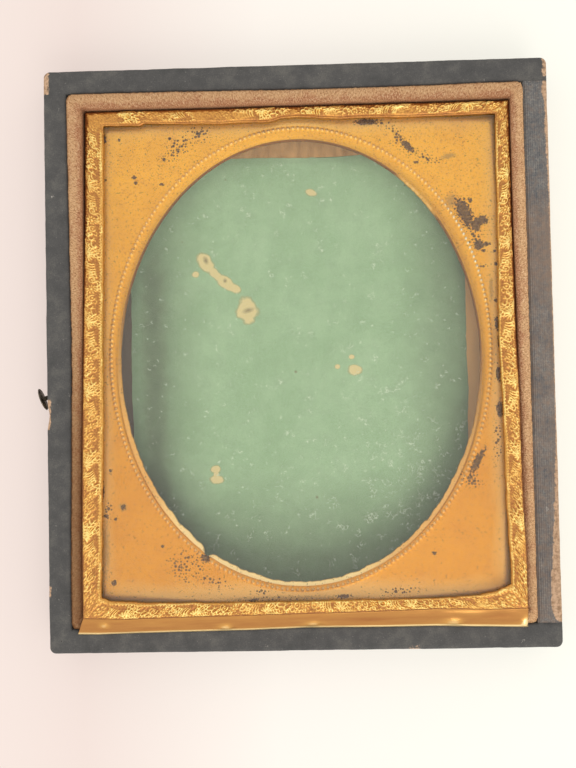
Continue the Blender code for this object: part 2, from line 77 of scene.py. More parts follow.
class Body(Enum):
    """The three bodies of the frame."""

    TRAY = "tray"
    RETAINER = "retainer"
    PACKET = "packet"


def linear(hex_colour: str) -> tuple[float, float, float, float]:
    """Turn an sRGB hex colour into linear values with full alpha.

    Args:
        hex_colour: Six hex digits after a hash mark.

    Returns:
        Red, green, blue and alpha.
    """
    parts = [int(hex_colour[i : i + 2], 16) / 255 for i in (1, 3, 5)]
    red, green, blue = (p / 12.92 if p <= 0.04045 else ((p + 0.055) / 1.055) ** 2.4 for p in parts)
    return red, green, blue, 1.0


def fill(tree: Tree, node: Any, inputs: dict[Any, Any]) -> None:
    """Set or link a node's inputs, by their names or numbers."""
    for key, value in inputs.items():
        if isinstance(value, Socket):
            tree.links.new(value, node.inputs[key])
        else:
            node.inputs[key].default_value = value


def add_node(tree: Tree, kind: str, inputs: dict[Any, Any] | None = None, **settings: Any) -> Any:
    """Add a node with its settings, and set or link its inputs.

    Args:
        tree: The node tree.
        kind: The node's type, such as ShaderNodeTexNoise.
        inputs: Values or sockets by the input's name or number.
        **settings: Properties of the node.

    Returns:
        The new node.
    """
    node = tree.nodes.new(kind)
    for name, value in settings.items():
        setattr(node, name, value)
    fill(tree, node, inputs or {})
    return node


def places(tree: Tree) -> Socket:
    """Places on the piece, in metres."""
    return add_node(tree, "ShaderNodeTexCoord").outputs["Object"]


def strip_places(tree: Tree, along: float = 1.0, across: float = 1.0) -> Socket:
    """Places along and across a strip, in metres, each scaled by a share."""
    uv = add_node(tree, "ShaderNodeUVMap", uv_map="UVMap").outputs[0]
    return add_node(tree, "ShaderNodeMapping", {"Vector": uv, "Scale": (along, across, 1)}).outputs[0]


def marked(tree: Tree, name: str) -> Socket:
    """A point attribute of the piece's mesh."""
    return add_node(tree, "ShaderNodeAttribute", attribute_name=name).outputs["Fac"]


def noise(tree: Tree, place: Socket, size: float, detail: float = 3.0, rough: float = 0.6) -> Socket:
    """Noise with lumps of a real size."""
    inputs = {"Vector": place, "Scale": 1 / size, "Detail": detail, "Roughness": rough}
    return add_node(tree, "ShaderNodeTexNoise", inputs).outputs[0]


def reckoned(tree: Tree, operation: str, *values: Socket | float) -> Socket:
    """Reckon one number from others."""
    return add_node(tree, "ShaderNodeMath", dict(enumerate(values)), operation=operation).outputs[0]


def spread(tree: Tree, value: Socket, low: float, high: float, top: float = 1.0) -> Socket:
    """Spread a value's run from low to high over 0 to a top, and hold it there."""
    inputs = {"Value": value, "From Min": low, "From Max": high, "To Max": top}
    return add_node(tree, "ShaderNodeMapRange", inputs).outputs[0]


def ramp(tree: Tree, value: Socket, *stops: tuple[float, str]) -> Socket:
    """Turn a value into a colour, by stops of a place and a hex colour in rising order."""
    (low, first), *between, (high, last) = stops
    node = add_node(tree, "ShaderNodeValToRGB", {0: spread(tree, value, low, high)})
    elements = node.color_ramp.elements
    elements[1].color = linear(last)
    elements[0].color = linear(first)
    for place, colour in between:
        elements.new((place - low) / (high - low)).color = linear(colour)
    return node.outputs[0]


def blended(tree: Tree, share: Socket, first: Socket | str, second: Socket | str) -> Socket:
    """Blend one colour into another by a share. Each is a socket or a hex colour."""
    first, second = (linear(part) if isinstance(part, str) else part for part in (first, second))
    inputs = {"Factor": share, 6: first, 7: second}
    return add_node(tree, "ShaderNodeMix", inputs, data_type="RGBA").outputs[2]


def finished(tree: Tree, shader: Any, colour: Socket, height: Socket, depth: float) -> None:
    """Link a colour and a fine relief of a real depth to a shader."""
    bump = add_node(tree, "ShaderNodeBump", {"Height": height, "Strength": 0.6, "Distance": depth})
    fill(tree, shader, {"Base Color": colour, "Normal": bump.outputs[0]})


def mixed(tree: Tree, share: Socket, first: Any, second: Any) -> None:
    """Mix two shaders by a share, as the material's surface."""
    inputs = {0: share, 1: first.outputs[0], 2: second.outputs[0]}
    both = add_node(tree, "ShaderNodeMixShader", inputs)
    fill(tree, tree.nodes["Material Output"], {"Surface": both.outputs[0]})


def hairs(tree: Tree, place: Socket, size: float, cover: float | Socket) -> Socket:
    """Curly hairs, as the bent edges of cells that a noise breaks up.

    Args:
        tree: The material's nodes.
        place: The points' places.
        size: How wide a cell is.
        cover: How much of the noise lets the hairs through.

    Returns:
        A share that is 1 on a hair.
    """
    inputs = {"Vector": place, "Scale": 1.7 / size, "Detail": 1.0}
    bend = add_node(tree, "ShaderNodeTexNoise", inputs).outputs["Color"]
    inputs = {0: bend, 1: 3 * (1.6 * size,), 2: place}
    bent = add_node(tree, "ShaderNodeVectorMath", inputs, operation="MULTIPLY_ADD").outputs[0]
    inputs = {"Vector": bent, "Scale": 1 / size}
    cells = add_node(tree, "ShaderNodeTexVoronoi", inputs, feature="DISTANCE_TO_EDGE")
    line = spread(tree, cells.outputs["Distance"], HAIR_EDGE / size, HAIR_CORE / size)
    gate = reckoned(tree, "ADD", noise(tree, place, 1.7 * size, 2.0), cover)
    return reckoned(tree, "MULTIPLY", line, spread(tree, gate, 0.98, 1.03))


def lumps(points: np.ndarray, size: float, seed: int = 0) -> np.ndarray:
    """Give smooth random heights from -1 to 1.

    Args:
        points: Places, with their axes last.
        size: Width of a lump, in the units of the places.
        seed: Which pattern.

    Returns:
        One height for each place.
    """
    axes = points.shape[-1]
    flat = points.reshape(-1, axes)
    cell = np.floor(flat / size)
    part = flat / size - cell
    part = part * part * (3 - 2 * part)
    total = np.zeros(len(flat))
    for corner in itertools.product((0, 1), repeat=axes):
        hashed = np.sin((cell + corner) @ SCATTER[:axes] + 37.7 * seed) * 43758.5453
        weight = np.prod(np.where(corner, part, 1 - part), axis=1)
        total += weight * (hashed - np.floor(hashed))
    return (2 * total - 1).reshape(points.shape[:-1])


def uneven(points: np.ndarray, waves: Waves) -> np.ndarray:
    """Add up lumps, each given by its height, its width in millimetres and its seed."""
    return sum(height * lumps(points, width * MM, seed) for height, width, seed in waves)


def smooth_step(low: float, high: float, value: np.ndarray) -> np.ndarray:
    """Rise smoothly from 0 at low to 1 at high."""
    share = np.clip((value - low) / (high - low), 0, 1)
    return share * share * (3 - 2 * share)


def along_line(line: Line, places_along: np.ndarray) -> np.ndarray:
    """Read a line of measured points at places along it, in metres."""
    run, reach = np.array(line).T
    return np.interp(places_along, run * MM, reach * MM)


def resampled(points: Sequence[Sequence[float]], step: float) -> np.ndarray:
    """Spread points evenly along a line, keeping its ends.

    Args:
        points: The line's points. Their first two numbers give its length.
        step: Distance from point to point.

    Returns:
        An array with a row for each new point.
    """
    line = np.array(points, float)
    run = np.concatenate([[0], np.cumsum(np.hypot(*np.diff(line[:, :2], axis=0).T))])
    count = max(2, math.ceil(run[-1] / step) + 1)
    spots = np.linspace(0, run[-1], count)
    return np.stack([np.interp(spots, run, column) for column in line.T], axis=1)


def lengths(points: np.ndarray) -> np.ndarray:
    """Distance run along a line of points, from its start."""
    steps = np.linalg.norm(np.diff(points, axis=0), axis=1)
    return np.concatenate([[0], np.cumsum(steps)])


def bent_sheet(
    name: str, points: np.ndarray, uv: np.ndarray, marks: dict[str, np.ndarray] | None = None
) -> bpy.types.Mesh:
    """Bend a flat grid into a shape.

    Args:
        name: The mesh's name.
        points: Places, by column, row and axis.
        uv: Lengths along and across in metres, by column, row and axis.
        marks: Point attributes by name, each by column and row.

    Returns:
        The open mesh.
    """
    columns, rows = points.shape[:2]
    bm = bmesh.new()
    bmesh.ops.create_grid(bm, x_segments=columns - 1, y_segments=rows - 1, size=1.0)
    mesh = bpy.data.meshes.new(name)
    bm.to_mesh(mesh)
    bm.free()
    flat = np.empty(len(mesh.vertices) * 3, np.float32)
    mesh.vertices.foreach_get("co", flat)
    share = (flat.reshape(-1, 3) + 1) / 2
    column = np.rint(share[:, 0] * (columns - 1)).astype(int)
    row = np.rint(share[:, 1] * (rows - 1)).astype(int)
    mesh.vertices.foreach_set("co", points[column, row].astype(np.float32).ravel())
    layer = mesh.uv_layers.new(name="UVMap")
    corner = np.empty(len(mesh.loops), np.int32)
    mesh.loops.foreach_get("vertex_index", corner)
    layer.data.foreach_set("uv", uv[column, row][corner].astype(np.float32).ravel())
    for title, values in (marks or {}).items():
        mark = mesh.attributes.new(title, "FLOAT", "POINT")
        mark.data.foreach_set("value", values[column, row].astype(np.float32))
    return mesh


def close_shell(mesh: bpy.types.Mesh, weld: float = 0.001 * MM) -> bpy.types.Mesh:
    """Weld a bent sheet's seams, cap its open ends and turn its faces outwards.

    Args:
        mesh: The mesh, changed in place.
        weld: How near two points are that become one.

    Returns:
        The same mesh.
    """
    bm = bmesh.new()
    bm.from_mesh(mesh)
    bmesh.ops.remove_doubles(bm, verts=bm.verts, dist=weld)
    ends = [edge for edge in bm.edges if edge.is_boundary]
    if ends:
        bmesh.ops.holes_fill(bm, edges=ends, sides=0)
    bmesh.ops.recalc_face_normals(bm, faces=bm.faces)
    bm.to_mesh(mesh)
    bm.free()
    mesh.shade_smooth()
    return mesh


@dataclass(frozen=True)
class Spot:
    """A stain in millimetres: its middle, its half sizes and its turn in degrees."""

    across: float
    along: float
    half_across: float
    half_along: float
    turn: float = 0.0


def spot_depth(tree: Tree, place: Socket, spots: Sequence[Spot]) -> Socket:
    """Say how far a point lies from the nearest stain's middle, as a share of its half sizes.

    Args:
        tree: The material's nodes.
        place: The points' places.
        spots: The stains.

    Returns:
        A value that is 0 in a stain's middle and 1 at its edge.
    """
    depths = []
    for spot in spots:
        inputs = {
            "Vector": place, "Location": (spot.across * MM, spot.along * MM, 0),
            "Rotation": (0, 0, math.radians(spot.turn)),
            "Scale": (spot.half_across * MM, spot.half_along * MM, 1e9),
        }
        local = add_node(tree, "ShaderNodeMapping", inputs, vector_type="TEXTURE").outputs[0]
        length = add_node(tree, "ShaderNodeVectorMath", {0: local}, operation="LENGTH")
        depths.append(length.outputs["Value"])
    nearest = depths[0]
    for depth in depths[1:]:
        nearest = reckoned(tree, "MINIMUM", nearest, depth)
    return nearest


def dots(tree: Tree, place: Socket, depth: Socket, pitch: float) -> Socket:
    """Scatter round dots where a depth is under 1, smaller and fewer towards its edge.

    Args:
        tree: The material's nodes.
        place: The points' places.
        depth: The regions' depth.
        pitch: Distance from dot to dot.

    Returns:
        A share that is 1 on a dot.
    """
    cells = add_node(
        tree, "ShaderNodeTexVoronoi", {"Vector": place, "Scale": 1 / pitch}, voronoi_dimensions="2D"
    )
    size = reckoned(tree, "MULTIPLY", cells.outputs["Color"], spread(tree, depth, 1.15, 0.2, 0.72))
    past = reckoned(tree, "SUBTRACT", cells.outputs["Distance"], size)
    return spread(tree, past, 0.0, -0.08)


@dataclass(frozen=True)
class Finish:
    """A finish, which makes one node material and shares it among pieces."""

    title: str

    def material(self) -> bpy.types.Material:
        """Return the material, made on the first call."""
        if self.title in bpy.data.materials:
            return bpy.data.materials[self.title]
        made = bpy.data.materials.new(self.title)
        made.use_nodes = True
        self.dress(made.node_tree, made.node_tree.nodes["Principled BSDF"])
        return made

    def dress(self, tree: Tree, shader: Any) -> None:
        """Add the finish's nodes. Each kind of finish has its own.

        Args:
            tree: The material's nodes.
            shader: Its Principled shader.
        """
        raise NotImplementedError


@dataclass(frozen=True)
class LeatherCloth(Finish):
    """Cloth-backed leather paper: matt, warm dark grey, flecked, and rubbed brown at its edges."""

    title: str = "embossed_leather_cloth"
    dark: str = "#444443"
    middle: str = "#51504F"
    pale: str = "#66645F"
    fleck: str = "#A8A39B"
    rubbed: str = "#C8A688"
    rubbed_dark: str = "#937458"
    grain: float = 0.2 * MM
    lump: float = 2.6 * MM
    dust: float = 0.13 * MM
    curl: float = 1.4 * MM
    fray: float = 0.45 * MM
    relief: float = 0.05 * MM
    thread: float = 1.0

    def surface(self, tree: Tree, place: Socket) -> tuple[Socket, Socket]:
        """Colour and height of the sound covering: a fine grain and faint lumps."""
        grain = noise(tree, place, self.grain)
        total = reckoned(tree, "MULTIPLY_ADD", grain, 0.6, noise(tree, place, self.lump, 5.0))
        tone = ramp(tree, total, (0.52, self.dark), (0.8, self.middle), (1.1, self.pale))
        return tone, grain

    def dress(self, tree: Tree, shader: Any) -> None:
        """Add pale flecks and hairs, and wear from the mark of that name."""
        fill(tree, shader, {"Roughness": 0.75, "Specular IOR Level": 0.3})
        place = places(tree)
        tone, height = self.surface(tree, place)
        dust = spread(tree, noise(tree, place, self.dust, 1.0), 0.73, 0.8, 0.8)
        lint = hairs(tree, place, self.curl, 0.3)
        tone = blended(tree, reckoned(tree, "MAXIMUM", dust, lint), tone, self.fleck)
        drawn = add_node(tree, "ShaderNodeMapping", {"Vector": place, "Scale": (self.thread, 1, 1)})
        fray = noise(tree, drawn.outputs[0], self.fray, 6.0, 0.7)
        level = reckoned(tree, "MULTIPLY_ADD", fray, 1.6, marked(tree, "wear"))
        worn = spread(tree, level, 1.22, 1.42)
        brown = ramp(tree, fray, (0.38, self.rubbed_dark), (0.58, self.rubbed))
        finished(tree, shader, blended(tree, worn, tone, brown), height, self.relief)


@dataclass(frozen=True)
class WovenCloth(LeatherCloth):
    """Bookcloth on the hinge wall: a fine grid of threads, browned where the mark named fade says."""

    title: str = "woven_hinge_cloth"
    dark: str = "#55575A"
    middle: str = "#6B6A69"
    pale: str = "#95918A"
    browned: str = "#8A7463"
    thread: float = 0.7
    warp: float = 0.36 * MM
    weft: float = 0.27 * MM
    fuzz: float = 0.3 * MM
    patch: float = 3.5 * MM
    cloud: float = 0.9 * MM

    def surface(self, tree: Tree, place: Socket) -> tuple[Socket, Socket]:
        """Colour and height of the cloth: two sets of waves, broken up by noise."""
        parts = add_node(tree, "ShaderNodeSeparateXYZ", {0: place})
        waves = []
        for axis, pitch in ((0, self.warp), (1, self.weft)):
            turn = reckoned(tree, "MULTIPLY", parts.outputs[axis], 2 * math.pi / pitch)
            waves.append(reckoned(tree, "SINE", turn))
        grid = reckoned(tree, "MULTIPLY_ADD", reckoned(tree, "MULTIPLY", *waves), 0.12, waves[0])
        fuzz = noise(tree, place, self.fuzz, 5.0, 0.65)
        patch = noise(tree, place, self.patch, 3.0)
        knots = reckoned(tree, "MULTIPLY_ADD", reckoned(tree, "MAXIMUM", *waves), 0.09, fuzz)
        total = reckoned(tree, "MULTIPLY_ADD", patch, 0.5, knots)
        tone = ramp(tree, total, (0.6, self.dark), (0.8, self.middle), (1.1, self.pale))
        cloud = noise(tree, place, self.cloud, 5.0, 0.7)
        level = reckoned(tree, "MULTIPLY_ADD", cloud, 2.2, marked(tree, "fade"))
        return blended(tree, spread(tree, level, 1.1, 2.0, 0.8), tone, self.browned), grid


@dataclass(frozen=True)
class CottonVelvet(Finish):
    """Cotton velvet, faded to a pinkish tan: rows of short pile, darkened at its edges by soil and painted
    shade.
    """

    title: str = "faded_cotton_velvet"
    deep: str = "#80593C"
    body: str = "#CCA074"
    pink: str = "#B07A58"
    tips: str = "#E8C59C"
    edge: str = "#6B4628"
    sheen: str = "#E8C4A4"
    row: float = 0.2 * MM
    pile: float = 0.16 * MM
    patch: float = 2.4 * MM
    relief: float = 0.16 * MM

    def dress(self, tree: Tree, shader: Any) -> None:
        """Add rows of pile across the strip, pink patches, and soil and painted shade from their mark."""
        fill(tree, shader, {"Roughness": 0.95, "Specular IOR Level": 0.1})
        sheen = {"Sheen Weight": 0.15, "Sheen Roughness": 0.4, "Sheen Tint": linear(self.sheen)}
        fill(tree, shader, sheen)
        place = places(tree)
        rows = noise(tree, strip_places(tree, 1.0, 0.45), self.row, 3.0, 0.7)
        pile = noise(tree, place, self.pile, 3.0, 0.7)
        total = reckoned(tree, "ADD", rows, pile)
        patch = reckoned(tree, "MULTIPLY_ADD", marked(tree, "inner"), 0.3, noise(tree, place, self.patch))
        body = blended(tree, spread(tree, patch, 0.48, 0.8), self.body, self.pink)
        dark = blended(tree, spread(tree, total, 0.98, 0.76), body, self.deep)
        tone = blended(tree, spread(tree, total, 1.0, 1.24), dark, self.tips)
        # The mark darkens the pile towards the edge colour, with soil and with painted shade.
        level = reckoned(tree, "MULTIPLY_ADD", pile, 0.8, marked(tree, "soil_and_shade"))
        tone = blended(tree, spread(tree, level, 0.6, 1.3), tone, self.edge)
        finished(tree, shader, tone, total, self.relief)


@dataclass(frozen=True)
class GiltFoil(Finish):
    """Stamped brass foil with a gilt wash: crumpled, painted bright on its crests as highlights and brown in
    its hollows as shade.
    """

    title: str = "stamped_gilt_foil"
    hollow: str = "#A46A40"
    flank: str = "#DFA452"
    crest: str = "#FFE08A"
    soil_and_shade: str = "#8A5A38"
    grit: float = 0.22 * MM
    facet: float = 0.34 * MM
    patch: float = 1.1 * MM
    relief: float = 0.09 * MM

    def dress(self, tree: Tree, shader: Any) -> None:
        """Colour the foil by the height mark, as painted highlights on the crests and painted shade in the
        hollows, with fine facets and a little soil.
        """
        fill(tree, shader, {"Metallic": 0.85, "Roughness": 0.33})
        place = places(tree)
        grit = noise(tree, place, self.grit, 3.0, 0.65)
        facets = add_node(tree, "ShaderNodeTexVoronoi", {"Vector": place, "Scale": 1 / self.facet})
        height = reckoned(tree, "MULTIPLY_ADD", facets.outputs["Distance"], 0.6, grit)
        # The height mark paints the crests pale as highlights and the hollows brown as shade.
        level = reckoned(tree, "MULTIPLY_ADD", grit, 0.9, marked(tree, "crest"))
        tone = ramp(tree, level, (0.4, self.hollow), (0.8, self.flank), (1.25, self.crest))
        dirt_and_shade = spread(tree, noise(tree, place, self.patch, 5.0), 0.56, 0.72, 0.45)
        finished(tree, shader, blended(tree, dirt_and_shade, tone, self.soil_and_shade), height, self.relief)


@dataclass(frozen=True)
class PlainFoil(Finish):
    """The same foil left plain on the flanges: smooth, brown by its fold as painted shade and pale at its lip
    as a painted highlight.
    """

    title: str = "plain_brass_foil"
    fold: str = "#A56A38"
    face: str = "#CE9850"
    lip: str = "#FFE0A2"
    streak: float = 0.6 * MM
    ripple: float = 1.2 * MM
    relief: float = 0.08 * MM

    def dress(self, tree: Tree, shader: Any) -> None:
        """Colour the foil by its mark, from the fold to the lip, with long soft streaks."""
        fill(tree, shader, {"Metallic": 0.75, "Roughness": 0.32})
        streak = noise(tree, strip_places(tree, 0.12), self.streak, 3.0)
        level = reckoned(tree, "MULTIPLY_ADD", streak, 0.35, marked(tree, "crest"))
        # The mark paints the fold brown as shade and the lip pale as a highlight.
        tone = ramp(tree, level, (0.15, self.fold), (0.7, self.face), (1.12, self.lip))
        finished(tree, shader, tone, noise(tree, places(tree), self.ripple, 4.0), self.relief)


@dataclass(frozen=True)
class MatBrass(Finish):
    """Lacquered sheet brass: satin gold, with brown-black tarnish in blots, dots and haze."""

    title: str = "lacquered_mat_brass"
    head: str = "#FFB930"
    foot: str = "#EA9C22"
    warm: str = "#D68626"
    shade: str = "#74441A"
    bare_and_lit: str = "#FFDC96"
    painted_gleam: str = "#FFF8E0"
    tarnish: str = "#5A3A1A"
    crust: str = "#8A622E"
    haze: str = "#B88844"
    cloud: float = 5 * MM
    grain: float = 0.35 * MM
    dot_pitch: float = 0.5 * MM
    speck: float = 0.34 * MM
    relief: float = 0.03 * MM
    head_end: float = 30 * MM
    foot_end: float = -20 * MM
    blots: tuple[Spot, ...] = (
        Spot(27.7, 23.0, 2.7, 1.15, -65), Spot(30.3, 21.5, 1.4, 0.75, 15), Spot(29.5, 20.7, 0.9, 0.8),
        Spot(29.9, 17.5, 0.8, 0.95), Spot(31.0, 17.6, 0.85, 0.32, 5), Spot(30.7, 16.5, 0.35, 0.25),
        Spot(28.7, 25.0, 0.36, 0.36), Spot(18.8, 34.3, 1.5, 0.5, -45), Spot(20.0, 31.6, 0.4, 0.2),
        Spot(28.6, -17.9, 2.4, 0.55, 62), Spot(32.5, 4.4, 0.38, 1.2), Spot(32.7, 1.6, 0.2, 1.3),
        Spot(32.45, -3.8, 0.35, 1.4), Spot(32.5, -9.5, 0.55, 1.6), Spot(32.6, 14.3, 0.25, 0.3),
        Spot(32.5, 16.4, 0.25, 0.25), Spot(32.4, 8.3, 0.3, 0.35), Spot(-32.4, -21.5, 0.2, 1.6),
        Spot(-31.9, 36.9, 0.35, 0.8), Spot(-26.95, 30.3, 0.38, 0.32), Spot(-26.65, 29.4, 0.28, 0.3),
        Spot(-22.3, 29.0, 0.42, 0.22), Spot(-29.4, 36.7, 0.25, 0.25), Spot(-21.9, 33.2, 0.33, 0.33),
        Spot(-20.9, 36.8, 0.3, 0.25), Spot(-29.1, -24.3, 0.42, 0.42), Spot(-30.35, -26.3, 0.25, 0.25),
        Spot(-31.9, -25.7, 0.3, 0.25), Spot(-31.2, -18.4, 0.26, 0.28), Spot(-22.7, -30.8, 0.24, 0.28),
        Spot(-30.7, -36.6, 0.52, 0.36, 60), Spot(-16.0, -35.95, 0.24, 0.24), Spot(-8.0, -39.6, 0.8, 0.28),
        Spot(6.5, -39.2, 1.2, 0.32), Spot(21.2, -32.6, 0.36, 0.32), Spot(-15.75, -32.8, 0.8, 0.65, -45),
        Spot(-31.7, 30.0, 0.2, 0.2), Spot(12.0, 38.6, 1.9, 0.5),
    )
    clusters: tuple[Spot, ...] = (
        Spot(-16.2, 37.3, 3.2, 1.9, 10), Spot(-19.5, 35.2, 4.5, 2.2, 40), Spot(14.9, 38.3, 1.7, 1.0),
        Spot(17.6, 35.4, 4.8, 1.5, -50), Spot(22.0, 32.2, 3.0, 1.0, -15), Spot(-18.9, -34.0, 4.6, 3.4, -30),
        Spot(-19.3, -33.6, 2.2, 1.4, -30),
        Spot(-14.2, -36.6, 3.4, 1.1, -20), Spot(15.4, -38.6, 4.6, 1.0, 5), Spot(-5.0, -39.4, 9.0, 0.45),
        Spot(-6.7, -38.3, 1.6, 0.9), Spot(30.5, 13.9, 1.0, 0.6), Spot(29.2, 19.6, 2.2, 3.2),
        Spot(31.9, -14.5, 0.9, 5.5), Spot(27.6, -20.9, 2.0, 2.6, 60), Spot(-31.5, -25.0, 0.9, 2.2),
    )
    hazes: tuple[Spot, ...] = (
        Spot(11.95, 38.7, 2.0, 0.85), Spot(25.4, 32.5, 1.4, 0.5, 12), Spot(25.7, 25.0, 1.2, 1.3),
        Spot(-32.1, -31.0, 0.8, 5.0), Spot(-2.0, -39.6, 12.0, 0.7), Spot(31.7, 10.0, 0.4, 2.4),
        Spot(-29.1, -24.3, 0.8, 0.75),
    )

    def dress(self, tree: Tree, shader: Any) -> None:
        """Add slow changes of tone; from their marks, painted shade on the bevel and between the beads, and a
        pale lip (bare metal at the burr, a painted highlight along the foot), bright bead tops and a
        lightened field as painted light; and tarnish.
        """
        fill(tree, shader, {"Metallic": 0.75, "Roughness": 0.42, "Specular IOR Level": 0.2})
        place = places(tree)
        parts = add_node(tree, "ShaderNodeSeparateXYZ", {0: place})
        # Painted light: the brass is paler towards the head and darker towards the foot.
        down = spread(tree, parts.outputs[1], self.head_end, self.foot_end)
        tone = blended(tree, down, self.head, self.foot)
        slow = spread(tree, noise(tree, place, self.cloud, 8.0, 0.65), 0.46, 0.74, 0.4)
        tone = blended(tree, slow, tone, self.warm)
        fine = noise(tree, place, self.grain, 4.0)
        tone = blended(tree, spread(tree, fine, 0.54, 0.68, 0.8), tone, self.warm)
        tone = blended(tree, marked(tree, "shade"), tone, self.shade)
        # This mark is bare metal at the burr, and painted light: the lip's highlight along the foot,
        # near-white highlights on the bead tops and a lightened field by the band.
        bare_and_lit = marked(tree, "bare_and_lit")
        tone = blended(tree, spread(tree, bare_and_lit, 0.0, 1.0), tone, self.bare_and_lit)
        tone = blended(tree, spread(tree, bare_and_lit, 0.9, 1.5), tone, self.painted_gleam)
        ragged = reckoned(tree, "SUBTRACT", fine, 0.5)
        cloud = reckoned(tree, "MULTIPLY_ADD", ragged, 2.4, spot_depth(tree, place, self.hazes))
        tone = blended(tree, spread(tree, cloud, 1.1, 0.5, 0.75), tone, self.haze)
        crust = ramp(tree, fine, (0.42, self.tarnish), (0.6, self.crust))
        blot = reckoned(tree, "MULTIPLY_ADD", ragged, 2.6, spot_depth(tree, place, self.blots))
        dot = dots(tree, place, spot_depth(tree, place, self.clusters), self.dot_pitch)
        mark = reckoned(tree, "MAXIMUM", spread(tree, blot, 1.06, 0.92), dot)
        speck = spread(tree, noise(tree, place, self.speck, 1.0), 0.655, 0.7, 0.55)
        mark = reckoned(tree, "MAXIMUM", mark, speck)
        finished(tree, shader, blended(tree, mark, tone, crust), fine, self.relief)


@dataclass(frozen=True)
class LiningPaper(Finish):
    """Green lining paper, matt and soft, with tan stains ringed by darker edges, soil, painted shade and
    lint.
    """

    title: str = "green_lining_paper"
    green: str = "#9CBA90"
    pale: str = "#AFCBA3"
    soiled_and_shaded: str = "#6F7C62"
    stain: str = "#E6D29A"
    ring: str = "#AE9A66"
    speck: str = "#7C6848"
    lint: str = "#DDE6D2"
    fibre: float = 0.3 * MM
    patch: float = 7 * MM
    dirt_and_shade: float = 2.5 * MM
    ragged: float = 1.1 * MM
    dust: float = 0.16 * MM
    curls: tuple[float, float] = (0.9 * MM, 1.5 * MM)
    relief: float = 0.04 * MM
    stains: tuple[Spot, ...] = (
        Spot(-15.7, 16.4, 2.0, 1.2, -58), Spot(-14.0, 14.4, 1.9, 0.75, -48), Spot(-12.3, 12.9, 1.7, 1.0, -40),
        Spot(-10.8, 11.9, 1.2, 0.75, -25), Spot(-8.7, 8.1, 1.6, 2.35, 8), Spot(-8.7, 7.8, 2.05, 1.3, 8),
        Spot(9.3, -2.4, 1.2, 0.9), Spot(8.8, -0.2, 0.5, 0.4), Spot(6.4, -1.8, 0.45, 0.4),
        Spot(-14.55, -18.7, 0.85, 0.75), Spot(-14.3, -20.4, 1.2, 0.75), Spot(-14.45, -19.5, 0.5, 0.7),
        Spot(2.55, 27.9, 0.95, 0.6, -20), Spot(-17.4, 14.4, 0.6, 0.5),
    )
    specks: tuple[Spot, ...] = (
        Spot(2.45, -23.7, 0.25, 0.3), Spot(-0.7, -2.5, 0.26, 0.24), Spot(-8.5, 8.1, 1.1, 0.45, 15),
        Spot(-15.6, 16.7, 0.4, 0.7, 20), Spot(-12.0, 30.5, 0.14, 0.14), Spot(-12.4, 13.2, 0.35, 0.4),
        Spot(-19.6, 20.0, 0.14, 0.14), Spot(18.4, 28.7, 0.2, 0.14),
    )

    def dress(self, tree: Tree, shader: Any) -> None:
        """Add fibres and patches, soil with painted shade and lint from their marks, and the stains."""
        fill(tree, shader, {"Roughness": 0.9, "Specular IOR Level": 0.2})
        place = places(tree)
        fibre = noise(tree, place, self.fibre, 4.0)
        total = reckoned(tree, "MULTIPLY_ADD", fibre, 0.7, noise(tree, place, self.patch, 6.0, 0.65))
        tone = ramp(tree, total, (0.65, self.green), (1.05, self.pale))
        # The mark darkens the paper towards its sides and foot, with soil and painted shade.
        dirt_and_shade = noise(tree, place, self.dirt_and_shade, 6.0)
        dirt_and_shade = reckoned(tree, "MULTIPLY_ADD", dirt_and_shade, 0.5, marked(tree, "soil_and_shade"))
        tone = blended(tree, spread(tree, dirt_and_shade, 0.22, 1.25), tone, self.soiled_and_shaded)
        edge = reckoned(tree, "SUBTRACT", noise(tree, place, self.ragged, 3.0), 0.5)
        depth = reckoned(tree, "MULTIPLY_ADD", edge, 0.7, spot_depth(tree, place, self.stains))
        tone = blended(tree, spread(tree, depth, 1.12, 0.98, 0.5), tone, self.ring)
        tone = blended(tree, spread(tree, depth, 1.0, 0.8), tone, self.stain)
        speck = reckoned(tree, "MULTIPLY_ADD", edge, 0.8, spot_depth(tree, place, self.specks))
        tone = blended(tree, spread(tree, speck, 1.2, 0.1, 0.75), tone, self.speck)
        cover = marked(tree, "lint")
        short, long = (hairs(tree, place, size, cover) for size in self.curls)
        fluff = reckoned(tree, "MAXIMUM", short, long)
        dust = spread(tree, noise(tree, place, self.dust, 1.0), 0.71, 0.78, 0.6)
        fluff = reckoned(tree, "MAXIMUM", reckoned(tree, "MULTIPLY", fluff, 0.7), dust)
        finished(tree, shader, blended(tree, fluff, tone, self.lint), fibre, self.relief)


@dataclass(frozen=True)
class Fibrous(Finish):
    """Dull fibrous stock, such as bare wood, pasteboard or gummed paper, darker towards -X."""

    title: str
    dark: str
    pale: str
    soiled_and_shaded: str
    fibre: float
    run: float = 4.0
    relief: float = 0.04 * MM

    def dress(self, tree: Tree, shader: Any) -> None:
        """Add fibres that run along Y, darker on the catch side as painted shade and paler on the hinge side
        as painted light.
        """
        fill(tree, shader, {"Roughness": 0.85, "Specular IOR Level": 0.25})
        place = places(tree)
        along = add_node(tree, "ShaderNodeMapping", {"Vector": place, "Scale": (1, 1 / self.run, 1)})
        fibre = noise(tree, along.outputs[0], self.fibre, 4.0)
        tone = ramp(tree, fibre, (0.3, self.dark), (0.7, self.pale))
        side = add_node(tree, "ShaderNodeSeparateXYZ", {0: place}).outputs[0]
        # Painted shade on the catch side and painted light on the hinge side.
        tone = blended(tree, spread(tree, side, -20 * MM, -27 * MM, 0.9), tone, self.soiled_and_shaded)
        tone = blended(tree, spread(tree, side, 20 * MM, 28 * MM, 0.8), tone, self.pale)
        finished(tree, shader, tone, fibre, self.relief)


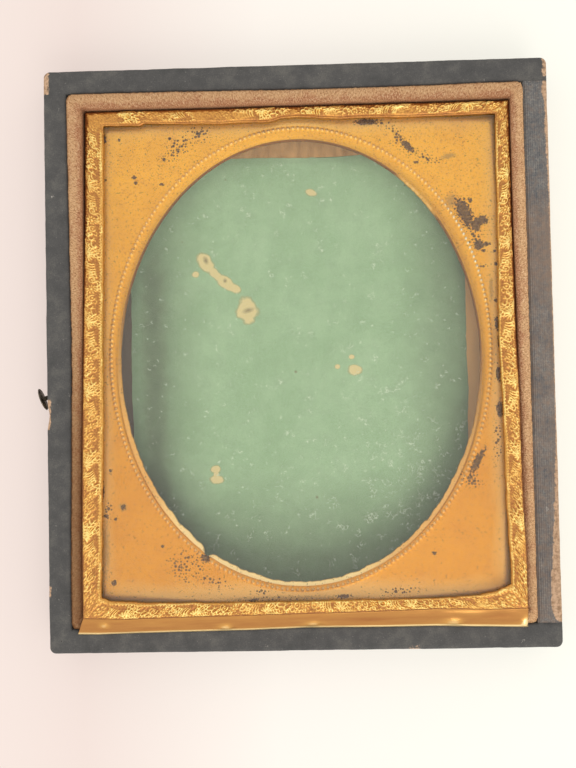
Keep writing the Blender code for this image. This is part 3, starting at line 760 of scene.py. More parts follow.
@dataclass(frozen=True)
class DarkBrass(Finish):
    """Old cast brass, brown with handling and dark in its pits."""

    title: str = "tarnished_brass"
    pits: str = "#5A534A"
    worn: str = "#948A79"
    patch: float = 0.6 * MM
    relief: float = 0.05 * MM

    def dress(self, tree: Tree, shader: Any) -> None:
        """Add patches of tarnish."""
        fill(tree, shader, {"Metallic": 0.8, "Roughness": 0.45})
        patch = noise(tree, places(tree), self.patch, 4.0)
        tone = ramp(tree, patch, (0.4, self.pits), (0.65, self.worn))
        finished(tree, shader, tone, patch, self.relief)


@dataclass(frozen=True)
class OldGlass(Finish):
    """Thin blown sheet glass, almost clear. Lamps shine through it as through any pane."""

    title: str = "thin_sheet_glass"
    through: str = "#FDFEFC"
    shadow: str = "#F4F8F3"

    def dress(self, tree: Tree, shader: Any) -> None:
        """Make the shader clear, and let shadow rays pass."""
        fill(tree, shader, {"Roughness": 0.0, "IOR": 1.5, "Transmission Weight": 1.0})
        fill(tree, shader, {"Base Color": linear(self.through)})
        path = add_node(tree, "ShaderNodeLightPath")
        clear = add_node(tree, "ShaderNodeBsdfTransparent", {"Color": linear(self.shadow)})
        mixed(tree, path.outputs["Is Shadow Ray"], shader, clear)


def put(name: str, data: bpy.types.ID) -> bpy.types.Object:
    """Put an object with some data in the scene."""
    made = bpy.data.objects.new(name, data)
    bpy.context.scene.collection.objects.link(made)
    return made


def add_piece(
    mesh: bpy.types.Mesh, finish: Finish, body: Body, replaces: Sequence[str] = ()
) -> bpy.types.Object:
    """Put a finished mesh in the scene, on its body.

    Args:
        mesh: The mesh, in its place. The piece takes its name.
        finish: What the piece is made of.
        body: The body that it moves with.
        replaces: The frame's nodes that it stands for.

    Returns:
        The new piece.
    """
    piece = put(mesh.name, mesh)
    dress_node(piece, finish)
    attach(piece, body.value)
    if replaces:
        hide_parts(*replaces)
    LOG.info("%s: %d faces", piece.name, len(mesh.polygons))
    return piece


def dress_node(node: bpy.types.Object, finish: Finish) -> None:
    """Give a node of the frame a finish in place of its plain colour."""
    node.data.materials.clear()
    node.data.materials.append(finish.material())


@dataclass(frozen=True)
class Edge:
    """How far each side of an edge lies from the case's middle, in millimetres along the side."""

    hinge: Line
    head: Line
    catch: Line
    foot: Line

    def reach(self, path: "RoundedPath") -> np.ndarray:
        """Read the edge at a path's columns, in X and in Y."""
        x, y = path.base()
        side = np.where(path.share_x < 0, along_line(self.catch, y), along_line(self.hinge, y))
        end = np.where(path.share_y < 0, along_line(self.foot, x), along_line(self.head, x))
        return np.stack([side, end], axis=1)

    def drawn_in(self, gap: float) -> "Edge":
        """The same edge, nearer the case's middle by a gap in millimetres."""
        lines = (self.hinge, self.head, self.catch, self.foot)
        return Edge(*(tuple((run, reach - gap) for run, reach in line) for line in lines))


WALL_EDGE = Edge(
    hinge=((-45, 37.45), (45, 37.45)),
    head=((-37, 43.94), (-24, 43.9), (-15, 43.82), (-7, 43.72), (2, 43.63), (14, 43.63), (22.6, 43.72),
          (31, 43.85), (37, 43.92)),
    catch=((-44, 37.75), (-37.5, 37.75), (-26, 37.63), (-17, 37.47), (-8, 37.32), (3, 37.2), (17, 37.38),
           (40, 37.65), (44, 37.65)),
    foot=((-45, 43.94), (45, 43.94)),
)


@dataclass
class RoundedPath:
    """Columns along a rectangle with round corners, for sections that follow it.

    The columns start on the hinge side and run by the head, the catch side and the foot back to
    it. An opening on the hinge side leaves that half length out at the start and at the end.
    """

    half_x: float
    half_y: float
    step: float
    corner_steps: int = 10
    opening: float = 0.0
    share_x: np.ndarray = field(init=False)
    share_y: np.ndarray = field(init=False)
    opening_y: np.ndarray = field(init=False)
    turn: np.ndarray = field(init=False)

    def __post_init__(self) -> None:
        """Work out where each column stands."""
        columns: list[tuple[float, float, float, float]] = []
        quarter = math.pi / 2
        part = max(2, math.ceil((self.half_y - self.opening) / self.step))
        ends = (self.half_x, self.half_y)
        corners = ((1, 1), (-1, 1), (-1, -1), (1, -1))
        for share in np.linspace(0, 1, part, endpoint=False):
            columns.append((1, share, (1 - share) * self.opening, 0))
        for number, (sign_x, sign_y) in enumerate(corners):
            for step in range(self.corner_steps):
                columns.append((sign_x, sign_y, 0, (number + step / self.corner_steps) * quarter))
            if number == 3:
                break
            length = 2 * ends[number % 2]
            next_x, next_y = corners[number + 1]
            count = max(2, math.ceil(length / self.step))
            for share in np.linspace(0, 1, count, endpoint=False):
                x = sign_x + share * (next_x - sign_x)
                y = sign_y + share * (next_y - sign_y)
                columns.append((x, y, 0, (number + 1) * quarter))
        for share in np.linspace(1, 0, part + 1):
            columns.append((1, -share, -(1 - share) * self.opening, 2 * math.pi))
        table = np.array(columns, float)
        self.share_x, self.share_y, self.opening_y, self.turn = table.T

    def base(self) -> tuple[np.ndarray, np.ndarray]:
        """Where the columns stand on the rectangle itself."""
        return self.share_x * self.half_x, self.share_y * self.half_y + self.opening_y

    def points(self, section: np.ndarray, inner: np.ndarray, outer: np.ndarray) -> np.ndarray:
        """Carry a section along the path, between two edges.

        Args:
            section: Rows of inner share, outer share, extra reach, level and plan radius.
            inner: Reach of the inner edge at each column, in X and Y.
            outer: Reach of the outer edge at each column, in X and Y.

        Returns:
            Places, by column, row and axis.
        """
        share_in, share_out, extra, level, radius = section.T
        reach = inner[:, None] * share_in[:, None] + outer[:, None] * share_out[:, None] + extra[:, None]
        x = self.share_x[:, None] * (reach[..., 0] - radius) + np.cos(self.turn)[:, None] * radius
        y = self.share_y[:, None] * (reach[..., 1] - radius) + self.opening_y[:, None]
        y = y + np.sin(self.turn)[:, None] * radius
        return np.stack([x, y, np.broadcast_to(level, x.shape)], axis=2)


def between_edges(section: Sequence[Sequence[float]], wall: float) -> np.ndarray:
    """Turn rows of offset, level and plan radius into rows that a path carries."""
    offset, level, radius = np.array(section, float).T
    share = offset / wall
    return np.stack([1 - share, share, 0 * share, level, radius], axis=1)


def strip_uv(points: np.ndarray) -> np.ndarray:
    """Lengths along and across a strip, for a pattern that follows it."""
    middle = points.shape[1] // 2
    along = lengths(points[:, middle])
    across = lengths(points[len(points) // 4])
    return np.stack(np.meshgrid(along, across, indexing="ij"), axis=2)


def out_of(points: np.ndarray) -> np.ndarray:
    """Directions square to a strip, at each of its points."""
    along = np.gradient(points, axis=0)
    across = np.gradient(points, axis=1)
    normal = np.cross(along, across)
    size = np.linalg.norm(normal, axis=2, keepdims=True)
    return normal / np.maximum(size, 1e-12)


def quarter_round(offset: float, level: float, radius: float, start: float) -> list[tuple[float, float]]:
    """A quarter round of a section, turning clockwise.

    Args:
        offset: The round's middle, across.
        level: The round's middle, up.
        radius: Its radius.
        start: Where it starts, in degrees.

    Returns:
        Rows of offset and level.
    """
    turns = np.radians(start - np.linspace(0, 90, 9))
    return list(zip(offset + radius * np.cos(turns), level + radius * np.sin(turns)))


@dataclass(frozen=True)
class Rub:
    """A place in millimetres where the covering is rubbed: its box and how strongly."""

    low_x: float
    high_x: float
    low_y: float
    high_y: float
    strength: float
    soft: float = 0.35

    def worn(self, x: np.ndarray, y: np.ndarray) -> np.ndarray:
        """How worn the covering is there, fading out round the box."""
        past_x = np.maximum(self.low_x - x, x - self.high_x)
        past_y = np.maximum(self.low_y - y, y - self.high_y)
        past = np.maximum(np.maximum(past_x, past_y), 0)
        return self.strength * np.exp(-((past / self.soft) ** 2))


@dataclass
class Tray:
    """The covered wooden tray: its coverings, the strip left on the hinge wall, floor and stud."""

    nodes: dict[str, bpy.types.Object]
    skin: float = 0.5 * MM
    turn_in: float = 4.0 * MM
    rim_round: float = 0.4 * MM
    corner_round: float = 1.0 * MM
    inner_round: float = 0.02 * MM
    step: float = 0.3 * MM
    leaf: float = 0.05 * MM
    overlap: float = 0.03 * MM
    bite_depth: float = 0.38 * MM
    bite_width: float = 1.5 * MM
    bite_place: float = -9.2 * MM
    rim_wear: float = 0.3 * MM
    wear_levels: tuple[float, float] = (4 * MM, 7.5 * MM)
    torn_soft: tuple[float, float] = (0.32 * MM, -0.22 * MM)
    torn_most: float = 0.7 * MM
    settling: Waves = ((0.045, 5.0, 11), (0.02, 1.3, 12), (0.015, 0.45, 13))
    rubbing: Waves = ((0.25, 5.0, 1),)
    tearing: Waves = ((0.22, 1.2, 5), (0.12, 0.4, 6))
    fraying: Waves = ((0.15, 0.9, 3),)
    swelling: Waves = ((0.03, 2.0, 4),)
    cockling: Waves = ((0.08, 11.0, 7), (0.02, 3.0, 8))
    cutting: Waves = ((0.25, 6.0, 9), (0.06, 1.0, 10))
    spine_columns: int = 294
    strip_grid: tuple[int, int] = (66, 900)
    strip_fade: float = 0.7 * MM
    strip_bed: float = 0.06 * MM
    strip_room: float = 0.09 * MM
    strip_sunk: float = 0.02 * MM
    paper_grid: tuple[int, int] = (190, 250)
    paper_press: float = 0.6 * MM
    paper_roll: float = 0.9 * MM
    paper_left: float = 0.03 * MM
    stud_thick: float = 0.4 * MM
    stud_shank: float = 2.4 * MM
    stud_back: float = 0.75 * MM
    stud_lean: float = 20.0
    stud_steps: int = 40
    stud_weld: float = 0.005 * MM
    rubs: tuple[Rub, ...] = (
        Rub(-41.5, -40.75, 44.2, 47.6, 0.72), Rub(40.95, 41.5, 44.6, 47.5, 0.75),
        Rub(-41.5, -40.95, -11.3, -6.8, 0.8, 0.25), Rub(-41.5, -41.25, -38.6, -37.0, 0.7, 0.25),
        Rub(17.0, 18.5, -47.9, -47.4, 0.5, 0.3),
    )
    torn: Line = (
        (-44.0, 0.0), (-43.3, 1.2), (-41.0, 1.75), (-36.0, 1.55), (-28.0, 0.95), (-20.0, 0.5), (-13.0, 0.22),
        (2.0, 0.16), (19.0, 0.2), (28.0, 0.28), (34.0, 0.5), (40.0, 0.55), (42.5, 0.85), (43.9, 0.6),
    )

    def __post_init__(self) -> None:
        """Read the tray's places from the frame."""
        self.low, self.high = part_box("wall_covering")
        self.spine_low, self.spine_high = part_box("spine_covering")
        self.inner_x = self.spine_low.x
        self.inner_y = self.spine_high.y + self.leaf
        self.wall = self.high.x - self.inner_x

    def section(self) -> np.ndarray:
        """The covering's closed section: up the inside, over the rim, down the wall and back."""
        shoulder = self.high.z - self.rim_round
        turn_low = self.high.z - self.turn_in
        inner = quarter_round(self.rim_round, shoulder, self.rim_round, 180)
        outer = quarter_round(self.wall - self.rim_round, shoulder, self.rim_round, 90)
        line = resampled([(0, turn_low), *inner, *outer, (self.wall, self.low.z)], self.step)
        radius = np.where(line[:, 0] < self.wall / 2, self.inner_round, self.corner_round)
        shown = between_edges(np.column_stack([line, radius]), self.wall)
        under = self.high.z - self.skin
        hidden = [
            (0, 1, -self.skin, self.low.z, self.leaf), (0, 1, -self.skin, under, self.leaf),
            (1, 0, self.skin, under, self.leaf), (1, 0, self.skin, turn_low, self.leaf),
            (1, 0, 0, turn_low, self.inner_round),
        ]
        return np.concatenate([shown, np.array(hidden)])

    def wear(self, points: np.ndarray) -> np.ndarray:
        """How worn the covering is at each point: in its rubbed places, and a little at its rim."""
        x, y, z = np.moveaxis(points, 2, 0)
        worn = np.max([rub.worn(x / MM, y / MM) for rub in self.rubs], axis=0)
        out = np.minimum(self.high.x - np.abs(x), self.high.y - np.abs(y))
        rim = np.exp(-(((out + self.high.z - z) / self.rim_wear) ** 2))
        ragged = 0.25 + uneven(points, self.rubbing)
        return np.maximum(worn * smooth_step(*self.wear_levels, z), rim * ragged)

    def torn_edge(self, points: np.ndarray) -> np.ndarray:
        """How worn the hinge wall's covering is: along its torn outer edge, down to the wall's foot."""
        width = along_line(self.torn, points[..., 1])
        ragged = uneven(points[..., :2], self.tearing)
        out = self.high.x - points[..., 0] + ragged * np.minimum(width, self.torn_most)
        low, high = (width + part for part in self.torn_soft)
        return 0.9 * smooth_step(low, high, out)

    def faded(self, points: np.ndarray) -> np.ndarray:
        """How brown the hinge wall's covering has gone: least by the head, most in one patch."""
        x, y = points[..., 0] / MM, points[..., 1] / MM
        patch = 0.3 * smooth_step(28, 21, y) * smooth_step(7, 13, y)
        return 0.05 + 0.3 * smooth_step(32, 14, y) + patch + 0.15 * smooth_step(39.5, 41.5, x)

    def settled(self, points: np.ndarray) -> np.ndarray:
        """Move a strip's points in and out a little, as hand-laid covering lies, and bite its edge."""
        height = uneven(points, self.settling) * MM
        moved = points + out_of(points) * height[..., None]
        x, y, z = np.moveaxis(points, 2, 0)
        edge = smooth_step(-40.6 * MM, -41.3 * MM, x) * smooth_step(5 * MM, 9 * MM, z)
        bite = np.exp(-(((y - self.bite_place) / self.bite_width) ** 2))
        moved[..., 0] += self.bite_depth * bite * edge
        return moved

    def build_walls(self) -> None:
        """Make the covering of the head, catch and foot walls."""
        opening = self.spine_high.y - self.overlap
        path = RoundedPath(self.inner_x, self.inner_y, self.step, opening=opening)
        outer = np.broadcast_to((self.high.x, self.high.y), (len(path.turn), 2))
        points = self.settled(path.points(self.section(), WALL_EDGE.reach(path), outer))
        mesh = bent_sheet("wall_covering_cloth", points, strip_uv(points), {"wear": self.wear(points)})
        add_piece(close_shell(mesh), LeatherCloth(), Body.TRAY, ["wall_covering"])

    def build_spine(self) -> None:
        """Make the covering of the hinge wall, torn along its outer edge."""
        section = self.section()
        across = section[:, 0] * self.inner_x + section[:, 1] * self.high.x + section[:, 2]
        along = np.linspace(self.spine_low.y, self.spine_high.y, self.spine_columns)
        x = np.broadcast_to(across, (len(along), len(section)))
        y = np.broadcast_to(along[:, None], x.shape)
        points = self.settled(np.stack([x, y, np.broadcast_to(section[:, 3], x.shape)], axis=2))
        marks = {"wear": self.torn_edge(points), "fade": self.faded(points)}
        mesh = bent_sheet("spine_covering_cloth", points, strip_uv(points), marks)
        add_piece(close_shell(mesh), WovenCloth(), Body.TRAY, ["spine_covering"])

    def build_strip(self) -> None:
        """Make the strip of woven cloth that the cover's hinge left on the rim, thin at its edges."""
        low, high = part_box("inner_hinge_strip")
        columns, rows = self.strip_grid
        x, y = np.meshgrid(
            np.linspace(low.x, high.x, columns), np.linspace(low.y, high.y, rows), indexing="ij"
        )
        plan = np.stack([x, y], axis=2)
        cloth = WovenCloth()
        warps = np.cos(x / cloth.warp * 2 * math.pi)
        wefts = np.cos(y / cloth.weft * 2 * math.pi)
        fray = uneven(plan, self.fraying) * MM
        past = np.minimum(np.minimum(x - low.x, high.x - x - fray), np.minimum(y - low.y, high.y - y))
        bed = self.high.z + self.strip_bed
        waves = 0.02 * warps + 0.012 * wefts + uneven(plan, self.swelling)
        top = bed + smooth_step(0, self.strip_fade, past) * (high.z - bed - self.strip_room + waves * MM)
        upper = np.stack([x, y, top], axis=2)
        lower = np.stack([x, y, np.full(x.shape, self.high.z - self.strip_sunk)], axis=2)
        points = np.concatenate([upper, lower[-1:], lower[:1], upper[:1]])
        uv = np.stack([points[..., 1], points[..., 0]], axis=2)
        marks = {"wear": self.torn_edge(points), "fade": self.faded(points)}
        mesh = bent_sheet("hinge_strip_cloth", points, uv, marks)
        add_piece(close_shell(mesh), cloth, Body.TRAY, ["inner_hinge_strip"])

    def build_paper(self) -> None:
        """Make the lining paper, cut by hand, cockled by damp, soiled and painted with shade at its edges,
        and linty.
        """
        low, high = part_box("lining_paper")
        columns, rows = self.paper_grid
        across, along = np.linspace(low.x, high.x, columns), np.linspace(low.y, high.y, rows)
        for line in (across, along):
            line[1], line[-2] = line[0] + self.leaf / 4, line[-1] - self.leaf / 4
        x, y = np.meshgrid(across, along, indexing="ij")
        plan = np.stack([x, y], axis=2)
        cockle = 0.1 + uneven(plan, self.cockling)
        edge = np.minimum(np.minimum(x - low.x, high.x - x), np.minimum(y - low.y, high.y - y))
        near = np.exp(-((edge / self.paper_press) ** 2))
        shift = uneven(plan, self.cutting) * near * MM
        top = high.z + cockle * MM * (1 - 0.9 * near)
        top = top - (high.z - low.z - self.paper_left) * np.exp(-((edge / self.paper_roll) ** 2))
        upper = np.stack([x + shift, y + shift, top], axis=2)
        lower = np.stack([x + shift, y + shift, np.full(x.shape, low.z)], axis=2)
        points = np.concatenate([upper, lower[::-1], upper[:1]])
        mesh = bent_sheet("lining_paper_sheet", points, points[..., :2], self.paper_marks(points / MM))
        add_piece(close_shell(mesh), LiningPaper(), Body.TRAY, ["lining_paper"])

    def paper_marks(self, points: np.ndarray) -> dict[str, np.ndarray]:
        """Soil and painted shade at the paper's sides and foot, and lint at its foot on the hinge side."""
        x, y = points[..., 0], points[..., 1]
        # A darker upright strip near the catch side, and darker sides and foot, with soil and painted shade.
        strip = 0.55 * np.exp(-(((x + 24.6) / 2.6) ** 2)) * smooth_step(24.0, 12.0, y)
        sides = smooth_step(-13.0, -23.0, x) * 0.4 + smooth_step(14.0, 27.0, x) * 0.6 + strip
        foot = smooth_step(-16.0, -34.0, y)
        lint = 0.332 + 0.075 * np.exp(-(((x - 19) / 14) ** 2) - (((y + 20) / 16) ** 2)) + 0.03 * foot
        return {"soil_and_shade": np.minimum(sides + 0.6 * foot, 1.0), "lint": lint}

    def build_stud(self) -> None:
        """Make the catch stud: a thin turned head on a short shank, leaning."""
        low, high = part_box("catch_stud")
        radius = (high.z - low.z) / 2
        thick = self.stud_thick
        profile = [
            (0, thick), (0.6 * radius, 0.9 * thick), (0.88 * radius, 0.7 * thick), (radius, 0.4 * thick),
            (0.97 * radius, 0.1 * thick), (0.8 * radius, 0), (0.2 * radius, -0.1 * thick),
            (0.17 * radius, -self.stud_shank), (0, -self.stud_shank),
        ]
        bm = bmesh.new()
        verts = [bm.verts.new((r, 0, z)) for r, z in profile]
        edges = [bm.edges.new(pair) for pair in zip(verts, verts[1:])]
        bmesh.ops.spin(
            bm, geom=verts + edges, cent=(0, 0, 0), axis=(0, 0, 1), angle=2 * math.pi,
            steps=self.stud_steps, use_merge=True,
        )
        bmesh.ops.remove_doubles(bm, verts=bm.verts, dist=self.stud_weld)
        turn = Matrix.Rotation(math.radians(self.stud_lean), 4, "Z")
        turn = turn @ Matrix.Rotation(math.radians(-90), 4, "Y")
        middle = Vector((low.x + self.stud_back, (low.y + high.y) / 2, (low.z + high.z) / 2))
        bmesh.ops.transform(bm, matrix=Matrix.Translation(middle) @ turn, verts=bm.verts)
        bmesh.ops.recalc_face_normals(bm, faces=bm.faces)
        mesh = bpy.data.meshes.new("catch_stud_turned")
        bm.to_mesh(mesh)
        bm.free()
        mesh.shade_smooth()
        add_piece(mesh, DarkBrass(), Body.TRAY, ["catch_stud"])

    def build(self) -> None:
        """Make every piece of the tray, and dress the wooden ones."""
        self.build_walls()
        self.build_spine()
        self.build_strip()
        self.build_paper()
        self.build_stud()
        wood = Fibrous("bare_sawn_wood", "#B98850", "#E0AC70", "#51473F", 1.2 * MM)
        for name in ("base_board", "head_rail", "foot_rail", "catch_rail", "hinge_rail"):
            dress_node(self.nodes[name], wood)
        dress_node(self.nodes["base_covering"], LeatherCloth("embossed_leather_base"))


@dataclass
class Retainer:
    """The retainer: a card strip folded at the corners under velvet."""

    nodes: dict[str, bpy.types.Object]
    step: float = 0.16 * MM
    ridge: float = 0.6
    inner_drop: float = 1.1 * MM
    outer_drop: float = 0.62 * MM
    fold_round: float = 0.15 * MM
    corner_round: float = 1.2 * MM
    turn_down: float = 3.0 * MM
    shown_width: float = 2.0 * MM
    shown_depth: float = 3.0 * MM
    back_depth: float = 1.7 * MM
    card_thick: float = 1.0 * MM
    path_half: tuple[float, float] = (36.4 * MM, 42.6 * MM)
    nap_depth: float = 1.0 * MM
    nap_fade: float = 0.8 * MM
    nap: Waves = ((0.08, 0.22, 31), (0.06, 0.6, 32), (0.05, 2.5, 33))
    mitre_reach: float = 2.6 * MM
    mitre_width: float = 0.25 * MM
    leaf: float = 0.05 * MM
    inner_edge: Edge = Edge(
        hinge=((-45, 35.58), (0, 35.52), (20, 35.4), (45, 35.48)),
        head=((-36, 41.46), (0, 41.42), (20, 41.47), (36, 41.49)),
        catch=((-45, 35.62), (-26, 35.62), (-17, 35.56), (-8, 35.46), (3, 35.32), (17, 35.2), (45, 35.15)),
        foot=((-45, 41.49), (45, 41.49)),
    )
    outer_edge: Edge = replace(WALL_EDGE.drawn_in(0.05), hinge=((-45, 37.43), (45, 37.43)))

    def __post_init__(self) -> None:
        """Read the retainer's places from the frame."""
        self.low, self.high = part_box("retainer_velvet")
        self.card_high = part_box("retainer_card")[1]
        self.hidden_lift = self.card_high.y - self.card_high.x

    def section(self) -> np.ndarray:
        """The velvet's closed section: up the inside, over the crown and down behind the card."""
        crown = []
        for turn in np.linspace(math.pi, 0, 25):
            drop = self.inner_drop if turn > math.pi / 2 else self.outer_drop
            share = self.ridge + (self.ridge if turn > math.pi / 2 else 1 - self.ridge) * math.cos(turn)
            crown.append((share, self.high.z - drop * (1 - math.sin(turn) ** 0.8)))
        width = self.shown_width
        foot = self.high.z - self.shown_depth
        shown = [(share * width, level) for share, level in crown]
        line = resampled([(0, foot), *shown, (width, self.high.z - self.back_depth)], self.step)
        radius = self.fold_round + (self.corner_round - self.fold_round) * line[:, 0] / width
        shown = between_edges(np.column_stack([line, radius]), width)
        turn_low = self.card_high.z - self.turn_down
        over = self.card_high.z + self.leaf
        behind = self.card_high.x + self.leaf
        before = self.card_high.x - self.card_thick - self.leaf
        hidden = [
            (0, 1, 0, turn_low, self.corner_round), (0, 0, behind, turn_low, self.leaf),
            (0, 0, behind, over, self.leaf), (0, 0, before, over, self.leaf),
            (0, 0, before, self.low.z, self.leaf), (1, 0, 0, self.low.z, self.fold_round),
            (1, 0, 0, foot, self.fold_round),
        ]
        return np.concatenate([shown, np.array(hidden)])

    def build(self) -> None:
        """Make the velvet, and dress the card."""
        path = RoundedPath(*self.path_half, self.step)
        section = self.section()
        points = path.points(section, self.inner_edge.reach(path), self.outer_edge.reach(path))
        fixed = (section[:, 0] == 0) & (section[:, 1] == 0)
        points[:, fixed, 1] += (path.share_y * self.hidden_lift)[:, None]
        x, y, z = np.moveaxis(points, 2, 0)
        top = np.clip((z - self.high.z + self.nap_depth) / self.nap_fade, 0, 1)
        gap_x = self.high.x - np.abs(x)
        gap_y = self.high.y - np.abs(y)
        corner = (gap_x < self.mitre_reach) * (gap_y < self.mitre_reach)
        mitre = np.exp(-(((gap_x - gap_y) / self.mitre_width) ** 2)) * corner
        height = (uneven(points, self.nap) - 0.2 * mitre) * top * MM
        points = points + out_of(points) * height[..., None]
        inner = smooth_step(0.55, 0.1, section[:, 1]) * (section[:, 0] > 0)
        inner = np.broadcast_to(inner, points.shape[:2])
        marks = {"soil_and_shade": self.soil_and_shade(points, section), "inner": inner}
        mesh = bent_sheet("retainer_velvet_pile", points, strip_uv(points), marks)
        add_piece(close_shell(mesh), CottonVelvet(), Body.RETAINER, ["retainer_velvet"])
        card = Fibrous("grey_pasteboard", "#8F7E66", "#B7A88E", "#8F7E66", 0.4 * MM)
        dress_node(self.nodes["retainer_card"], card)

    def soil_and_shade(self, points: np.ndarray, section: np.ndarray) -> np.ndarray:
        """Darken the pile with soil and painted shade at its outer and inner edges and at the head end, and
        with painted shade down the catch side to the foot.
        """
        edges = np.abs(2 * section[:, 1] - 1)
        outer = 0.5 * smooth_step(0.7, 1.0, edges) * (section[:, 1] > 0.5)
        inner = 0.1 * smooth_step(0.6, 1.0, edges) * (section[:, 1] < 0.5)
        x, y = points[..., 0] / MM, points[..., 1] / MM
        # Painted shade: the catch side's pile grows darker towards the foot.
        down = (0.24 + 0.44 * smooth_step(22.0, -26.0, y)) * smooth_step(-34.0, -35.0, x)
        head = 0.28 * smooth_step(41.0, 42.0, y)
        return outer * smooth_step(37.3, 36.0, x) + inner + np.maximum(down, head)


@dataclass(frozen=True)
class Stroke:
    """A stamped ridge in millimetres: an arc, or a straight lobe where it has no radius.

    An arc starts at one angle and sweeps on. A lobe has a length and leans by its start.
    """

    along: float
    across: float
    radius: float
    start: float
    sweep: float
    length: float
    width: float
    height: float

    def relief(self, along: np.ndarray, across: np.ndarray, repeat: float) -> np.ndarray:
        """The ridge's height over a surface on which it repeats."""
        step_x = (along - self.along + repeat / 2) % repeat - repeat / 2
        step_y = across - self.across
        start = math.radians(self.start)
        if self.radius:
            turn = (np.arctan2(step_y, step_x) - start) % (2 * math.pi)
            away = np.abs(np.hypot(step_x, step_y) - self.radius)
            if self.sweep < 360:
                ends = []
                for angle in (start, start + math.radians(self.sweep)):
                    end_x, end_y = self.radius * math.cos(angle), self.radius * math.sin(angle)
                    ends.append(np.hypot(step_x - end_x, step_y - end_y))
                away = np.where(turn <= math.radians(self.sweep), away, np.minimum(*ends))
        else:
            run = step_x * math.cos(start) + step_y * math.sin(start)
            aside = step_y * math.cos(start) - step_x * math.sin(start)
            away = np.hypot(np.maximum(np.abs(run) - self.length / 2, 0), aside)
        return self.height * np.exp(-((away / self.width) ** 2))


def arc(along: float, across: float, radius: float, start: float, sweep: float, width: float = 0.1,
        height: float = 0.2) -> Stroke:
    """A stamped ridge that runs round."""
    return Stroke(along, across, radius, start, sweep, 0, width, height)


def lobe(along: float, across: float, length: float, lean: float, width: float = 0.12,
         height: float = 0.22) -> Stroke:
    """A stamped ridge that runs straight, or a pearl where it has no length."""
    return Stroke(along, across, 0, lean, 0, length, width, height)


@dataclass(frozen=True)
class BandSide:
    """One side of the preserver's band in millimetres: whether it runs along X, and its two edges."""

    along_x: bool
    outer: Line
    inner: Line

    def edges(self, step: float) -> tuple[np.ndarray, np.ndarray]:
        """Points on the outer and the inner edge, in metres, without the last ones.

        Args:
            step: Distance from point to point.

        Returns:
            Two arrays with X and Y in each row.
        """
        lines = []
        length = abs(self.outer[-1][0] - self.outer[0][0]) * MM
        share = np.linspace(0, 1, math.ceil(length / step), endpoint=False)
        for line in (self.outer, self.inner):
            along = (line[0][0] + (line[-1][0] - line[0][0]) * share) * MM
            reach = along_line(tuple(sorted(line)), along)
            lines.append(np.stack([along, reach] if self.along_x else [reach, along], axis=1))
        return lines[0], lines[1]


